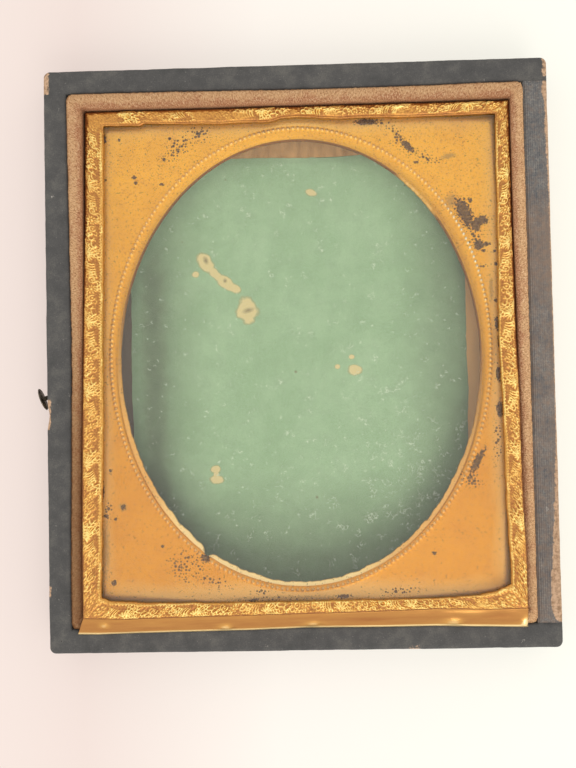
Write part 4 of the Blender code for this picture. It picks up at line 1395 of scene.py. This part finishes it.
@dataclass
class Packet:
    """The packet: stamped preserver, cover glass and oval mat, on one leaning plane."""

    nodes: dict[str, bpy.types.Object]
    foil: float = 0.2 * MM
    face_level: float = 0.45 * MM
    flange: float = 3.8 * MM
    flange_gap: float = 0.07 * MM
    flange_limit: tuple[float, float] = (35.3 * MM, 41.2 * MM)
    flange_step: float = 0.6 * MM
    flange_rows: int = 9
    flange_bulge: float = 0.05 * MM
    flange_inside: tuple[float, float] = (0.9965, 0.997)
    foot_grid: tuple[int, int] = (420, 22)
    foot_seat: float = 0.05 * MM
    foot_thick: float = 0.12 * MM
    lip_level: float = 9.87 * MM
    band_rise: float = 0.2 * MM
    band_fall: float = 0.5 * MM
    fall_width: float = 0.95 * MM
    relief_scale: float = 1.35
    band_step: float = 0.1 * MM
    band_rows: int = 28
    head_zone: tuple[float, float] = (36.5 * MM, 38 * MM)
    foot_zone: tuple[float, float] = (-40 * MM, -41 * MM)
    lower_zone: tuple[float, float] = (30 * MM, 5 * MM)
    shoulder: float = 0.3 * MM
    stem_round: float = 0.12 * MM
    bright: float = 0.3 * MM
    petals: int = 9
    arches: int = 22
    pearls: int = 27
    scattered: int = 40
    margin: float = 0.42 * MM
    slim_margin: float = 0.05 * MM
    wander: Waves = ((0.04, 2.5, 41), (0.03, 0.8, 42))
    drift: Waves = ((0.12, 1.5, 45), (0.3, 6.0, 46))
    stretch: Waves = ((0.08, 1.1, 47),)
    pressing: Waves = ((0.35, 4.0, 43),)
    crumpling: Waves = ((0.045, 0.4, 44), (0.035, 0.22, 48))
    denting: Waves = ((0.07, 3.0, 61),)
    swaying: Waves = ((0.06, 14.0, 73),)
    widest: float = 3.3 * MM
    squeeze: float = 2.75 / 3.0
    repeat: float = 11.7
    field_level: float = -1.85 * MM
    window_x: float = 29.45 * MM
    window_y: float = 36.4 * MM
    window_middle: tuple[float, float] = (0.12 * MM, -0.55 * MM)
    lip_width: float = 0.3 * MM
    lip_gain: float = 0.3 * MM
    lip_drop: float = 0.4 * MM
    bead_pitch: float = 0.82 * MM
    bead_radius: float = 0.37 * MM
    bead_height: float = 0.28 * MM
    bead_columns: int = 8
    bead_rows: int = 9
    notch_turn: float = 238.6
    notch_depth: float = 1.05
    step_turn: float = 313.0
    burr_turns: tuple[float, float] = (38.0, 57.0)
    burr_soft: float = 4.0
    pale_turns: tuple[float, float] = (212.0, 230.0)
    dull_turns: tuple[float, float] = (285.0, 305.0)
    edge_radius: float = 33.0
    field_shares: tuple[float, ...] = (0.06, 0.2, 0.4, 0.6, 0.8, 1.0)
    bevel_shares: tuple[float, ...] = (0.15, 0.3, 0.5, 0.75, 1.0)
    lit_zone: tuple[float, float] = (4.5 * MM, 1.5 * MM)
    mat_thick: float = 0.3 * MM
    sides: tuple[BandSide, ...] = (
        BandSide(False, ((41.25, 35.45), (16.2, 35.27), (1.5, 35.22), (-7.5, 35.48), (-16.3, 35.43),
                         (-25, 35.5), (-33.8, 35.77), (-41.35, 35.65)),
                 ((38.95, 33.0), (16.2, 32.75), (1.5, 32.42), (-7.4, 32.67), (-16.2, 32.69), (-25, 32.75),
                  (-33.7, 33.05), (-37.5, 33.1))),
        BandSide(True, ((35.65, -41.35), (29.3, -41.43), (21, -41.25), (12.8, -41.49), (0.4, -41.72),
                        (-7.9, -41.85), (-16.3, -41.95), (-24.6, -42.1), (-28.8, -42.2), (-35.4, -42.0)),
                 ((33.1, -37.5), (31.0, -38.45), (28, -39.05), (24.3, -39.39), (12.8, -39.62),
                  (-3.7, -39.77), (-16.6, -39.74), (-24.6, -39.62), (-31, -39.2), (-32.4, -38.7))),
        BandSide(False, ((-42.0, -35.4), (-37.4, -35.5), (-26.2, -35.52), (-17.4, -35.47), (-8.4, -35.37),
                         (3, -35.2), (17.1, -35.03), (41.25, -34.88)),
                 ((-38.7, -32.4), (-36.7, -32.39), (-26.3, -32.19), (-17.4, -32.04), (-8.5, -31.9),
                  (3, -31.93), (17, -31.76), (38.7, -31.65))),
        BandSide(True, ((-34.85, 41.25), (35.45, 41.25)),
                 ((-31.65, 38.7), (-25.7, 38.56), (-24.9, 38.94), (-19.6, 38.71), (-11.7, 38.56),
                  (-4.3, 38.6), (-1.7, 39.16), (0.5, 39.25), (7.6, 38.81), (10, 38.89), (17.5, 38.8),
                  (25.7, 38.85), (33.0, 38.95))),
    )
    lip: Line = (
        (-36.7, -44.72), (-33.4, -44.78), (-25, -44.6), (-16.5, -44.48), (-8.1, -44.38), (0.3, -44.12),
        (12.8, -44.19), (21.2, -44.15), (29.5, -44.36), (35.8, -44.5),
    )
    tape_edges: dict[str, tuple[int, float]] = field(default_factory=lambda: {
        "tape_head": (1, 39.75 * MM), "tape_foot": (1, 40.15 * MM),
        "tape_catch_side": (0, 33.0 * MM), "tape_hinge_side": (0, 33.5 * MM),
    })
    dents: tuple[tuple[float, float, float, float], ...] = (
        (-12.6, 0.76, 1.2, 0.14), (-11.4, 0.84, 0.5, -0.08), (1.6, 0.72, 1.6, 0.14), (2.6, 0.8, 0.6, -0.09),
        (24.0, 0.74, 1.6, 0.14), (25.8, 0.84, 0.8, -0.08), (27.0, 0.12, 2.6, 0.04), (31.0, 0.3, 2.6, -0.05),
        (35.2, 0.85, 0.5, 0.2), (-32.2, 0.45, 0.8, 0.14), (-24.0, 0.5, 3.5, 0.04), (10.0, 0.5, 4.0, -0.04),
    )

    def __post_init__(self) -> None:
        """Find the plane of the glass, and the packet's outline, from the frame."""
        glass = self.nodes["cover_glass"].data
        upper = [face for face in glass.polygons if face.normal.z > 0.9]
        corners = [glass.vertices[i].co for face in upper for i in face.vertices]
        largest = max(upper, key=lambda face: face.area)
        self.lean = math.atan2(largest.normal.y, largest.normal.z)
        low = Vector(map(min, *corners))
        high = Vector(map(max, *corners))
        self.middle = (low + high) / 2
        self.glass_half_x = high.x
        self.glass_half_y = (high.y - low.y) / 2 / math.cos(self.lean)

    def placed(self, x: np.ndarray, y: np.ndarray, up: np.ndarray) -> np.ndarray:
        """Turn places on the packet's plane into places in the frame.

        Args:
            x: Across the packet.
            y: Along it, from its middle to its head.
            up: Out of the upper face of the glass.

        Returns:
            The same places, with the three axes last.
        """
        cos, sin = math.cos(self.lean), math.sin(self.lean)
        x, y, up = np.broadcast_arrays(x, y, up)
        return np.stack(
            [self.middle.x + x, self.middle.y + y * cos + up * sin, self.middle.z - y * sin + up * cos],
            axis=-1,
        )

    def motif(self) -> list[Stroke]:
        """The band's repeat: rosette, scrolls, swept leaves and shell, between pearls and arches."""
        half = self.repeat / 2
        strokes = [lobe(0, 1.25, 0, 0, 0.2, 0.26), lobe(0, 0.55, 0.3, 90), lobe(0.05, 2.0, 0.25, 90)]
        for number in range(self.petals):
            lean = 360 // self.petals * number
            angle = math.radians(lean)
            across = 1.25 + 0.55 * math.sin(angle)
            strokes.append(lobe(0.55 * math.cos(angle), across, 0.2, lean, 0.1, 0.2))
        for sign in (-1, 1):
            turned = 150 if sign > 0 else -250
            strokes.append(arc(sign * 1.5, 1.3, 0.46, turned, 280))
            strokes.append(lobe(sign * 1.5, 1.32, 0, 0, 0.15, 0.22))
            strokes.append(arc(sign * 2.1, 0.75, 0.32, 190 if sign > 0 else 100, 230, 0.09, 0.18))
            strokes.append(arc(sign * 2.25, 1.75, 0.26, 20, 220, 0.08, 0.16))
            for number in range(5):
                place = sign * (2.55 + 0.42 * number)
                lean = 90 - sign * (38 - 5 * number)
                strokes.append(arc(place + sign * 0.9, 1.2, 1.0, lean + 85, 62, 0.09, 0.21))
                strokes.append(lobe(place + 0.1 * sign, 0.55 + 0.1 * (number % 2), 0.3, lean, 0.08, 0.15))
            for number, lean in enumerate((84, 62, 40, 20)):
                turn = math.radians(lean)
                reach = 0.8 - 0.04 * number
                strokes.append(
                    lobe(half - sign * reach * math.cos(turn), 0.5 + reach * math.sin(turn), 0.85,
                         180 - lean if sign > 0 else lean, 0.11, 0.24)
                )
        for number in range(self.arches):
            strokes.append(arc(number * self.repeat / self.arches, 2.5, 0.2, 0, 190, 0.08, 0.18))
        for number in range(self.pearls):
            along, across = number * self.repeat / self.pearls, 0.32 + 0.06 * (number % 3)
            strokes.append(lobe(along, across, 0.08, 60, 0.09, 0.13))
        for number in range(self.scattered):
            along = number * 0.6180 % 1 * self.repeat
            across = 0.2 + 2.6 * (number * 0.7549 % 1)
            height = 0.13 + 0.13 * (number * 0.3412 % 1)
            if number % 3:
                radius = 0.24 + 0.2 * (number * 0.5698 % 1)
                strokes.append(arc(along, across, radius, 137.5 * number % 360, 170, 0.1, height))
            else:
                strokes.append(lobe(along, across, 0.4, 47 * number % 180, 0.1, height))
        return strokes

    def stamped(self, along: np.ndarray, across: np.ndarray, to_corner: np.ndarray) -> np.ndarray:
        """The stamped relief of the band.

        Args:
            along: Run along the side, in millimetres.
            across: Distance in from its outer edge, in millimetres.
            to_corner: Distance to the side's nearer end, in millimetres.

        Returns:
            Heights in millimetres.
        """
        height = np.zeros(along.shape)
        for stroke in self.motif():
            height = np.maximum(height, stroke.relief(along, across, self.repeat))
        corner_x = to_corner - 1.45
        corner_y = across - 1.35
        reach = np.hypot(corner_x, corner_y)
        petals = 0.6 + 0.4 * np.cos(7 * np.arctan2(corner_y, corner_x))
        petals = petals * np.exp(-(((reach - 0.6) / 0.22) ** 2))
        rosette = 0.2 * np.maximum(petals, np.exp(-((reach / 0.22) ** 2)))
        near = 1 - smooth_step(0.9, 1.5, reach)
        return height * (1 - near) + rosette * near

    def build_band(self) -> None:
        """Make the preserver's stamped band, as a thin closed shell with a rolled inner margin."""
        rims, holes, runs, rests = [], [], [], []
        for side in self.sides:
            outer, inner = side.edges(self.band_step)
            rims.append(outer)
            holes.append(inner)
            run = outer[:, 0] if side.along_x else outer[:, 1]
            runs.append(run / MM)
            ends = np.array((side.outer[0][0], side.outer[-1][0]))
            rests.append(np.min(np.abs(run[:, None] / MM - ends), axis=1))
        rim, hole = np.concatenate([*rims, rims[0][:1]]), np.concatenate([*holes, holes[0][:1]])
        run = np.concatenate([*runs, runs[0][:1]])[:, None]
        rest = np.concatenate([*rests, rests[0][:1]])[:, None]
        hole = hole + uneven(hole, self.wander)[:, None] * MM * np.sign(hole) * 1.5
        share = np.linspace(0, 1, self.band_rows)
        plan = rim[:, None] * (1 - share[:, None]) + hole[:, None] * share[:, None]
        x, y = plan[..., 0], plan[..., 1]
        width = np.minimum(np.linalg.norm(hole - rim, axis=1), self.widest)[:, None]
        across = share * width
        stretched = across / MM * self.squeeze + uneven(plan, self.stretch)
        relief = self.stamped(run + uneven(plan, self.drift), stretched, rest) * MM
        press = 0.85 + uneven(plan, self.pressing)
        worn = smooth_step(-0.1, 0.5, lumps(plan, 3 * MM, 49))
        crumple = uneven(plan, self.crumpling)
        at_head = smooth_step(*self.head_zone, hole[:, 1:])
        press = press * (1 + (0.3 - 1.05 * worn) * at_head)
        margin = self.slim_margin + (self.margin - self.slim_margin) * at_head
        stem = width - margin
        body = smooth_step(0, self.shoulder, across) * smooth_step(0, self.stem_round, stem - across)
        roll = np.exp(-(((across - stem - 0.6 * margin) / (0.3 * margin)) ** 2))
        at_foot = smooth_step(*self.foot_zone, rim[:, 1:])
        lower = smooth_step(*self.lower_zone, rim[:, 1:])
        fall = np.clip(1 - across / self.fall_width, 0, 1) ** 2 * (1 - 0.75 * lower) * (1 - 0.7 * at_foot)
        relief = relief * press * body * (1 - 0.45 * fall) * self.relief_scale
        up = self.face_level + self.band_rise * body + relief + crumple * MM * body
        up = up - self.band_fall * fall + 0.2 * margin * roll
        up = up - 0.1 * MM * smooth_step(self.stem_round, 0, width - across)
        # Painted light in the crest mark: highlights on the relief's crests and the margin's roll, painted
        # shade on the outer fall, and the inner margin of the sides and foot lightened.
        crest = np.clip(relief / self.bright, 0, 1) * 0.95 + 0.06 * body + 0.1 * roll - 0.3 * fall
        crest = crest + 0.35 * (1 - at_head) * smooth_step(0.35 * MM, 0.1 * MM, stem - across)
        crest = crest + (0.02 + 0.08 * worn) * at_head
        low = self.face_level - self.foil - self.band_fall * fall[:, :1]
        lower_edge = self.placed(x[:, -1:], y[:, -1:], self.face_level - self.foil)
        lower_rim = self.placed(x[:, :1], y[:, :1], low)
        points = np.concatenate([lower_rim, self.placed(x, y, up), lower_edge, lower_rim], axis=1)
        marks = np.concatenate([crest[:, :1], crest, crest[:, -1:], crest[:, :1]], axis=1)
        mesh = bent_sheet("preserver_band", points, strip_uv(points), {"crest": marks})
        add_piece(close_shell(mesh), GiltFoil(), Body.PACKET, ["preserver"])

    def build_flanges(self) -> None:
        """Make the flanges down three sides: thin walls that hug the glass."""
        lines = [side.edges(self.flange_step)[0] for side in self.sides]
        line = np.concatenate([lines[2], lines[3], lines[0]])
        limit = np.array(self.flange_limit)
        line = np.clip(line - np.sign(line) * self.flange_gap, -limit, limit)
        share = np.linspace(0, 1, self.flange_rows)
        bulge = self.flange_bulge * np.abs(lumps(line, 3 * MM, 51))[:, None] * np.sin(share * math.pi)
        inward = -line / np.abs(line).max(axis=0)
        outer = line[:, None] + inward[:, None] * bulge[..., None]
        start = self.face_level - self.band_fall
        drop = start - share * (self.flange + self.face_level - start)
        shell = self.placed(outer[..., 0], outer[..., 1], drop)
        inner = outer * self.flange_inside
        inside = self.placed(inner[..., 0], inner[..., 1], drop)
        points = np.concatenate([shell, inside[:, ::-1], shell[:, :1]], axis=1)
        mark = np.full(points.shape[:2], 0.1)
        mesh = bent_sheet("preserver_side_flanges", points, strip_uv(points), {"crest": mark})
        add_piece(close_shell(mesh), PlainFoil(), Body.PACKET)

    def build_foot_flange(self) -> None:
        """Make the foot flange, splayed over the velvet, wrinkled and dented, with a pale lip painted as a
        highlight.
        """
        foot = self.sides[1]
        columns, rows = self.foot_grid
        across = np.linspace(0, 1, columns)[:, None]
        share = np.linspace(0, 1, rows)
        start_x = (foot.outer[-1][0] + (foot.outer[0][0] - foot.outer[-1][0]) * across) * MM
        stop_x = (self.lip[0][0] + (self.lip[-1][0] - self.lip[0][0]) * across) * MM
        start_y = along_line(foot.outer[::-1], start_x)
        top = self.placed(start_x, start_y, self.face_level - self.foot_seat)
        stop_y = along_line(self.lip, stop_x)
        x = top[..., 0] + (stop_x - top[..., 0]) * share
        y = top[..., 1] + (stop_y - top[..., 1]) * share
        z = top[..., 2] + (self.lip_level - top[..., 2]) * share
        rise = (uneven(np.stack([x, y], axis=2), self.denting) + 0.08 * np.sin(share * math.pi)) * MM
        glint = np.zeros(x.shape)
        for place, depth, width, height in self.dents:
            near = np.exp(-(((x / MM - place) / width) ** 2) - ((share - depth) / 0.2) ** 2)
            rise = rise + 1.8 * height * MM * near
            glint = glint + 3.6 * max(height, -0.03) * near
        z = z + rise * smooth_step(0, 0.25, share) - 0.05 * MM * smooth_step(0.93, 1.0, share)
        upper = np.stack([x, y, z], axis=2)
        lower = upper - np.array((0, 0, self.foot_thick))
        points = np.concatenate([upper, lower[:, ::-1], upper[:, :1]], axis=1)
        # Painted highlights: a bright line at the lip, a bright corner at the right end and a glint on each
        # dent; the underside gets half.
        end = np.exp(-(((x / MM - 35.5) / 0.5) ** 2)) * smooth_step(0.2, 0.7, share)
        lit = 0.3 - 0.12 * np.sin(share * math.pi) + 0.9 * smooth_step(0.84, 0.93, share) + 0.6 * end + glint
        mark = np.concatenate([lit, lit[:, ::-1] * 0.5, lit[:, :1]], axis=1)
        mesh = bent_sheet("preserver_foot_flange", points, strip_uv(points), {"crest": mark})
        add_piece(close_shell(mesh), PlainFoil(), Body.PACKET)

    def bead_line(self, turn: np.ndarray) -> np.ndarray:
        """How far the beads' line lies outside the window: most by the head on the hinge side."""
        out = np.exp((np.cos(turn - math.radians(32)) - 1) / 0.08)
        return (1.6 + 0.5 * np.sin(turn) + 0.6 * out) * MM

    def mat_columns(self) -> np.ndarray:
        """Turns round the oval, evenly spaced along the line of beads."""
        fine = np.linspace(0, 2 * math.pi, 4001)
        grow = self.bead_line(fine)
        line = np.stack([(self.window_x + grow) * np.cos(fine), (self.window_y + grow) * np.sin(fine)], 1)
        run = lengths(line)
        beads = round(run[-1] / self.bead_pitch)
        return np.interp(np.linspace(0, run[-1], beads * self.bead_columns + 1), run, fine)

    def ring(self, turn: np.ndarray) -> np.ndarray:
        """Places round a circle of the window's size, in millimetres, for the edge's lumps."""
        return np.stack([np.cos(turn), np.sin(turn)], axis=1) * self.edge_radius

    def ragged_edge(self, turn: np.ndarray) -> np.ndarray:
        """How far the window's edge strays: crusty at the foot, with a torn notch and a step."""
        foot = smooth_step(0.0, 0.6, -np.sin(turn))
        ring = self.ring(turn)
        crust = lumps(ring, 1.6, 71) + 0.6 * lumps(ring, 0.5, 72)
        crust = crust + 1.6 * self.burr(turn) * lumps(ring, 0.7, 74)
        notch = self.notch_depth * np.exp(-(((turn - math.radians(self.notch_turn)) / 0.026) ** 2))
        start, stop = math.radians(self.step_turn), math.radians(self.step_turn - 1)
        step = -0.14 * smooth_step(start, stop, turn) * foot
        return ((0.03 + 0.12 * foot) * crust + notch + step) * MM

    def burr(self, turn: np.ndarray) -> np.ndarray:
        """Where the window's edge is burred and pale, by the head on the hinge side."""
        first, last = map(math.radians, self.burr_turns)
        soft = math.radians(self.burr_soft)
        return smooth_step(first, first + soft, turn) * smooth_step(last, last - soft, turn)

    def build_mat(self) -> None:
        """Make the mat: a thin lip, a bevel, the beads and the flat field."""
        turn = self.mat_columns()
        foot = smooth_step(-0.3, 0.6, -np.sin(turn) - 0.15 * np.cos(turn))
        ragged = self.ragged_edge(turn)
        bead = self.bead_line(turn)
        lip = self.field_level - self.lip_drop
        burr = self.burr(turn)
        pale = smooth_step(*map(math.radians, self.pale_turns), turn)
        pale = pale * (1 - 0.9 * smooth_step(*map(math.radians, self.dull_turns), turn))
        crumbs = 0.5 + 0.5 * lumps(self.ring(turn), 0.5, 75)
        # The lip is pale with bare metal at the burr and a painted highlight along the foot, and darkened
        # elsewhere as painted shade.
        bare_and_lit_lip = np.maximum((0.3 + 0.65 * pale) * foot, 0.6 * burr * crumbs)
        shaded_lip = 0.95 * (1 - foot) * (1 - 0.7 * burr)
        width = self.lip_width + self.lip_gain * foot
        flat = np.maximum(width, ragged + 0.22 * MM)
        fold = np.maximum(width + 0.12 * MM, ragged + 0.3 * MM)
        rows = [
            (ragged, lip - self.mat_thick, 0.0, 1.0),
            (ragged, lip, 0.3 * bare_and_lit_lip, np.maximum(0.8 * foot, shaded_lip)),
            (ragged + 0.16 * MM, lip + 0.01 * MM, bare_and_lit_lip, shaded_lip),
            (flat, lip + 0.04 * MM, bare_and_lit_lip, shaded_lip * 0.9),
            (fold, lip + 0.06 * MM, 0.3 * bare_and_lit_lip, 0.3 * (1 - foot)),
        ]
        inner = bead - self.bead_radius - 0.05 * MM
        for share in self.bevel_shares:
            rise = 0.15 + 0.85 * math.sin(share * math.pi / 2)
            shade = (0.42 * (1 - foot) + 0.06) * (1 - share) ** 1.5
            rows.append((fold + (inner - fold) * share, lip + self.lip_drop * rise, 0.0, shade))
        # Painted highlights on the bead tops, strongest by the head on the hinge side, with painted shade
        # between the beads.
        painted_gleam = 0.75 + 1.15 * np.exp((np.cos(turn - math.radians(28)) - 1) / 0.03)
        phase = np.arange(len(turn)) / self.bead_columns
        aside = (phase - np.rint(phase)) * self.bead_pitch
        for offset in np.linspace(-self.bead_radius, self.bead_radius, self.bead_rows):
            reach = np.minimum(np.hypot(aside, offset) / self.bead_radius, 1)
            top = 0.5 + 0.5 * np.cos(math.pi * reach)
            shade = 0.08 * (1 - top) * (1 - abs(offset) / self.bead_radius)
            rows.append((bead + offset, self.field_level + self.bead_height * top, painted_gleam * top, shade))
        grow, up, bare_and_lit, shade = (
            np.stack([np.broadcast_to(row[column], turn.shape) for row in rows], axis=1)
            for column in range(4)
        )
        window = np.stack([np.cos(turn), np.sin(turn)], axis=1)[:, None]
        size = np.stack([self.window_x + grow, self.window_y + grow], axis=2)
        plan = np.array(self.window_middle) + size * window
        away = np.stack([np.cos(turn), np.sin(turn) * self.window_y / self.window_x], axis=1)
        half = np.sign(away) * np.array((self.glass_half_x, self.glass_half_y))
        last = plan[:, -1]
        free = np.abs((half - last) / np.where(np.abs(away) < 1e-9, 1e-9, away)).min(axis=1)
        share = np.array(self.field_shares)
        sheet = last[:, None] + (away * free[:, None])[:, None] * share[:, None]
        sway = self.field_level + uneven(sheet, self.swaying) * MM
        below = np.full((len(turn), 2), self.field_level - self.mat_thick)
        plan = np.concatenate([plan, sheet, sheet[:, -1:], plan[:, 7:8], plan[:, :1]], axis=1)
        up = np.concatenate([up, sway, below, up[:, :1]], axis=1)
        plain = np.zeros((len(turn), up.shape[1] - bare_and_lit.shape[1]))
        # Painted light lifts the field near the glass's edge, where the band shades it.
        lit = plain.copy()
        near = smooth_step(*self.lit_zone, free[:, None] * (1 - share))
        lit[:, : len(share)] = (0.3 + 0.1 * foot)[:, None] * near
        marks = {"bare_and_lit": np.concatenate([bare_and_lit, lit], axis=1), "shade": np.concatenate([shade, plain], axis=1)}
        points = self.placed(plan[..., 0], plan[..., 1], up)
        mesh = bent_sheet("oval_mat", points, strip_uv(points), marks)
        add_piece(close_shell(mesh), MatBrass(), Body.PACKET, ["mat"])

    def build_tapes(self) -> None:
        """Cut the sealing paper back under the band, so that it doesn't show beside it."""
        paper = Fibrous("gummed_sealing_paper", "#8A6F48", "#A98E64", "#8A6F48", 0.4 * MM)
        slope = math.tan(self.lean)
        for name, (axis, edge) in self.tape_edges.items():
            mesh = self.nodes[name].data.copy()
            mesh.name = name + "_cut_back"
            for vert in mesh.vertices:
                short = edge - abs(vert.co[axis])
                if short > 0:
                    step = math.copysign(short, vert.co[axis])
                    vert.co[axis] += step
                    vert.co.z -= step * slope * axis
            add_piece(mesh, paper, Body.PACKET, [name])

    def build(self) -> None:
        """Make every piece of the packet, and dress the glass."""
        self.build_band()
        self.build_flanges()
        self.build_foot_flange()
        self.build_mat()
        self.build_tapes()
        dress_node(self.nodes["cover_glass"], OldGlass())


@dataclass
class Studio:
    """Floor, lamps, world and camera."""

    floor_half: float = 1.5
    floor_glow: float = 0.6
    floor_fade: float = 50 * MM
    sky_colour: str = "#FFFCF8"
    sky_level: float = 1.01
    sky_lean: float = 0.07
    sky_side: tuple[float, float, float] = (0.3, -0.95, 0.1)
    key_level: float = 1.3
    key_size: float = 0.4
    key_place: tuple[float, float, float] = (0.16, -0.5, 0.62)
    focal_pixels: float = 1100.0
    photo_long_side: float = 768.0
    sensor: float = 36.0
    eye: tuple[float, float, float] = (3.81 * MM, -11.88 * MM, 188.45 * MM)
    turn: tuple[float, float, float] = (2.235, 1.852, -1.134)

    def build_floor(self) -> None:
        """Lay a pale floor under the case, pinkish and darker on the catch side as painted shade, and cream
        on the hinge side.
        """
        bm = bmesh.new()
        bmesh.ops.create_grid(bm, x_segments=1, y_segments=1, size=self.floor_half)
        mesh = bpy.data.meshes.new("floor")
        bm.to_mesh(mesh)
        bm.free()
        floor = put("floor", mesh)
        paint = bpy.data.materials.new("pale_floor_paint")
        paint.use_nodes = True
        tree = paint.node_tree
        shader = tree.nodes["Principled BSDF"]
        side = add_node(tree, "ShaderNodeSeparateXYZ", {0: places(tree)}).outputs[0]
        colour = ramp(
            tree, spread(tree, side, -self.floor_fade, self.floor_fade), (0.0, "#F3E4DD"), (0.12, "#F1E1DA"),
            (0.45, "#FEF7EF"), (1.0, "#FFFFF5"),
        )
        fill(tree, shader, {"Base Color": colour, "Roughness": 0.9})
        # The floor glows to camera rays, as painted light that lifts the case's shadow on it.
        glow = add_node(tree, "ShaderNodeEmission", {"Color": colour})
        path = add_node(tree, "ShaderNodeLightPath")
        share = reckoned(tree, "MULTIPLY", path.outputs["Is Camera Ray"], self.floor_glow)
        mixed(tree, share, shader, glow)
        mesh.materials.append(paint)

    def build_light(self) -> None:
        """Light the case softly from the foot, under a sky that is paler on that side."""
        world = bpy.data.worlds.new("studio_sky")
        world.use_nodes = True
        tree = world.node_tree
        way = add_node(tree, "ShaderNodeTexCoord").outputs["Generated"]
        dot = add_node(tree, "ShaderNodeVectorMath", {0: way, 1: self.sky_side}, operation="DOT_PRODUCT")
        level = reckoned(tree, "MULTIPLY_ADD", dot.outputs["Value"], self.sky_lean, self.sky_level)
        fill(tree, tree.nodes["Background"], {"Color": linear(self.sky_colour), "Strength": level})
        bpy.context.scene.world = world
        data = bpy.data.lights.new("key", "AREA")
        data.shape = "DISK"
        data.size = self.key_size
        data.energy = self.key_level
        data.color = linear(self.sky_colour)[:3]
        key = put("key", data)
        key.location = self.key_place
        key.rotation_euler = (-Vector(self.key_place)).to_track_quat("-Z", "Y").to_euler()

    def build_camera(self) -> None:
        """Stand the camera where the photograph was taken from."""
        data = bpy.data.cameras.new("camera")
        data.sensor_width = self.sensor
        data.lens = self.focal_pixels * self.sensor / self.photo_long_side
        data.clip_start = 0.01
        camera = put("camera", data)
        camera.location = self.eye
        camera.rotation_euler = tuple(math.radians(angle) for angle in self.turn)
        bpy.context.scene.camera = camera

    def build(self) -> None:
        """Set up the whole stage."""
        bpy.context.scene.view_settings.view_transform = "Standard"
        self.build_floor()
        self.build_light()
        self.build_camera()


def main() -> None:
    """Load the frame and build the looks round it."""
    logging.basicConfig(level=logging.INFO, format="%(name)s %(message)s")
    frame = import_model()
    Studio().build()
    Tray(frame["nodes"]).build()
    Retainer(frame["nodes"]).build()
    Packet(frame["nodes"]).build()


if __name__ == "__main__":
    main()
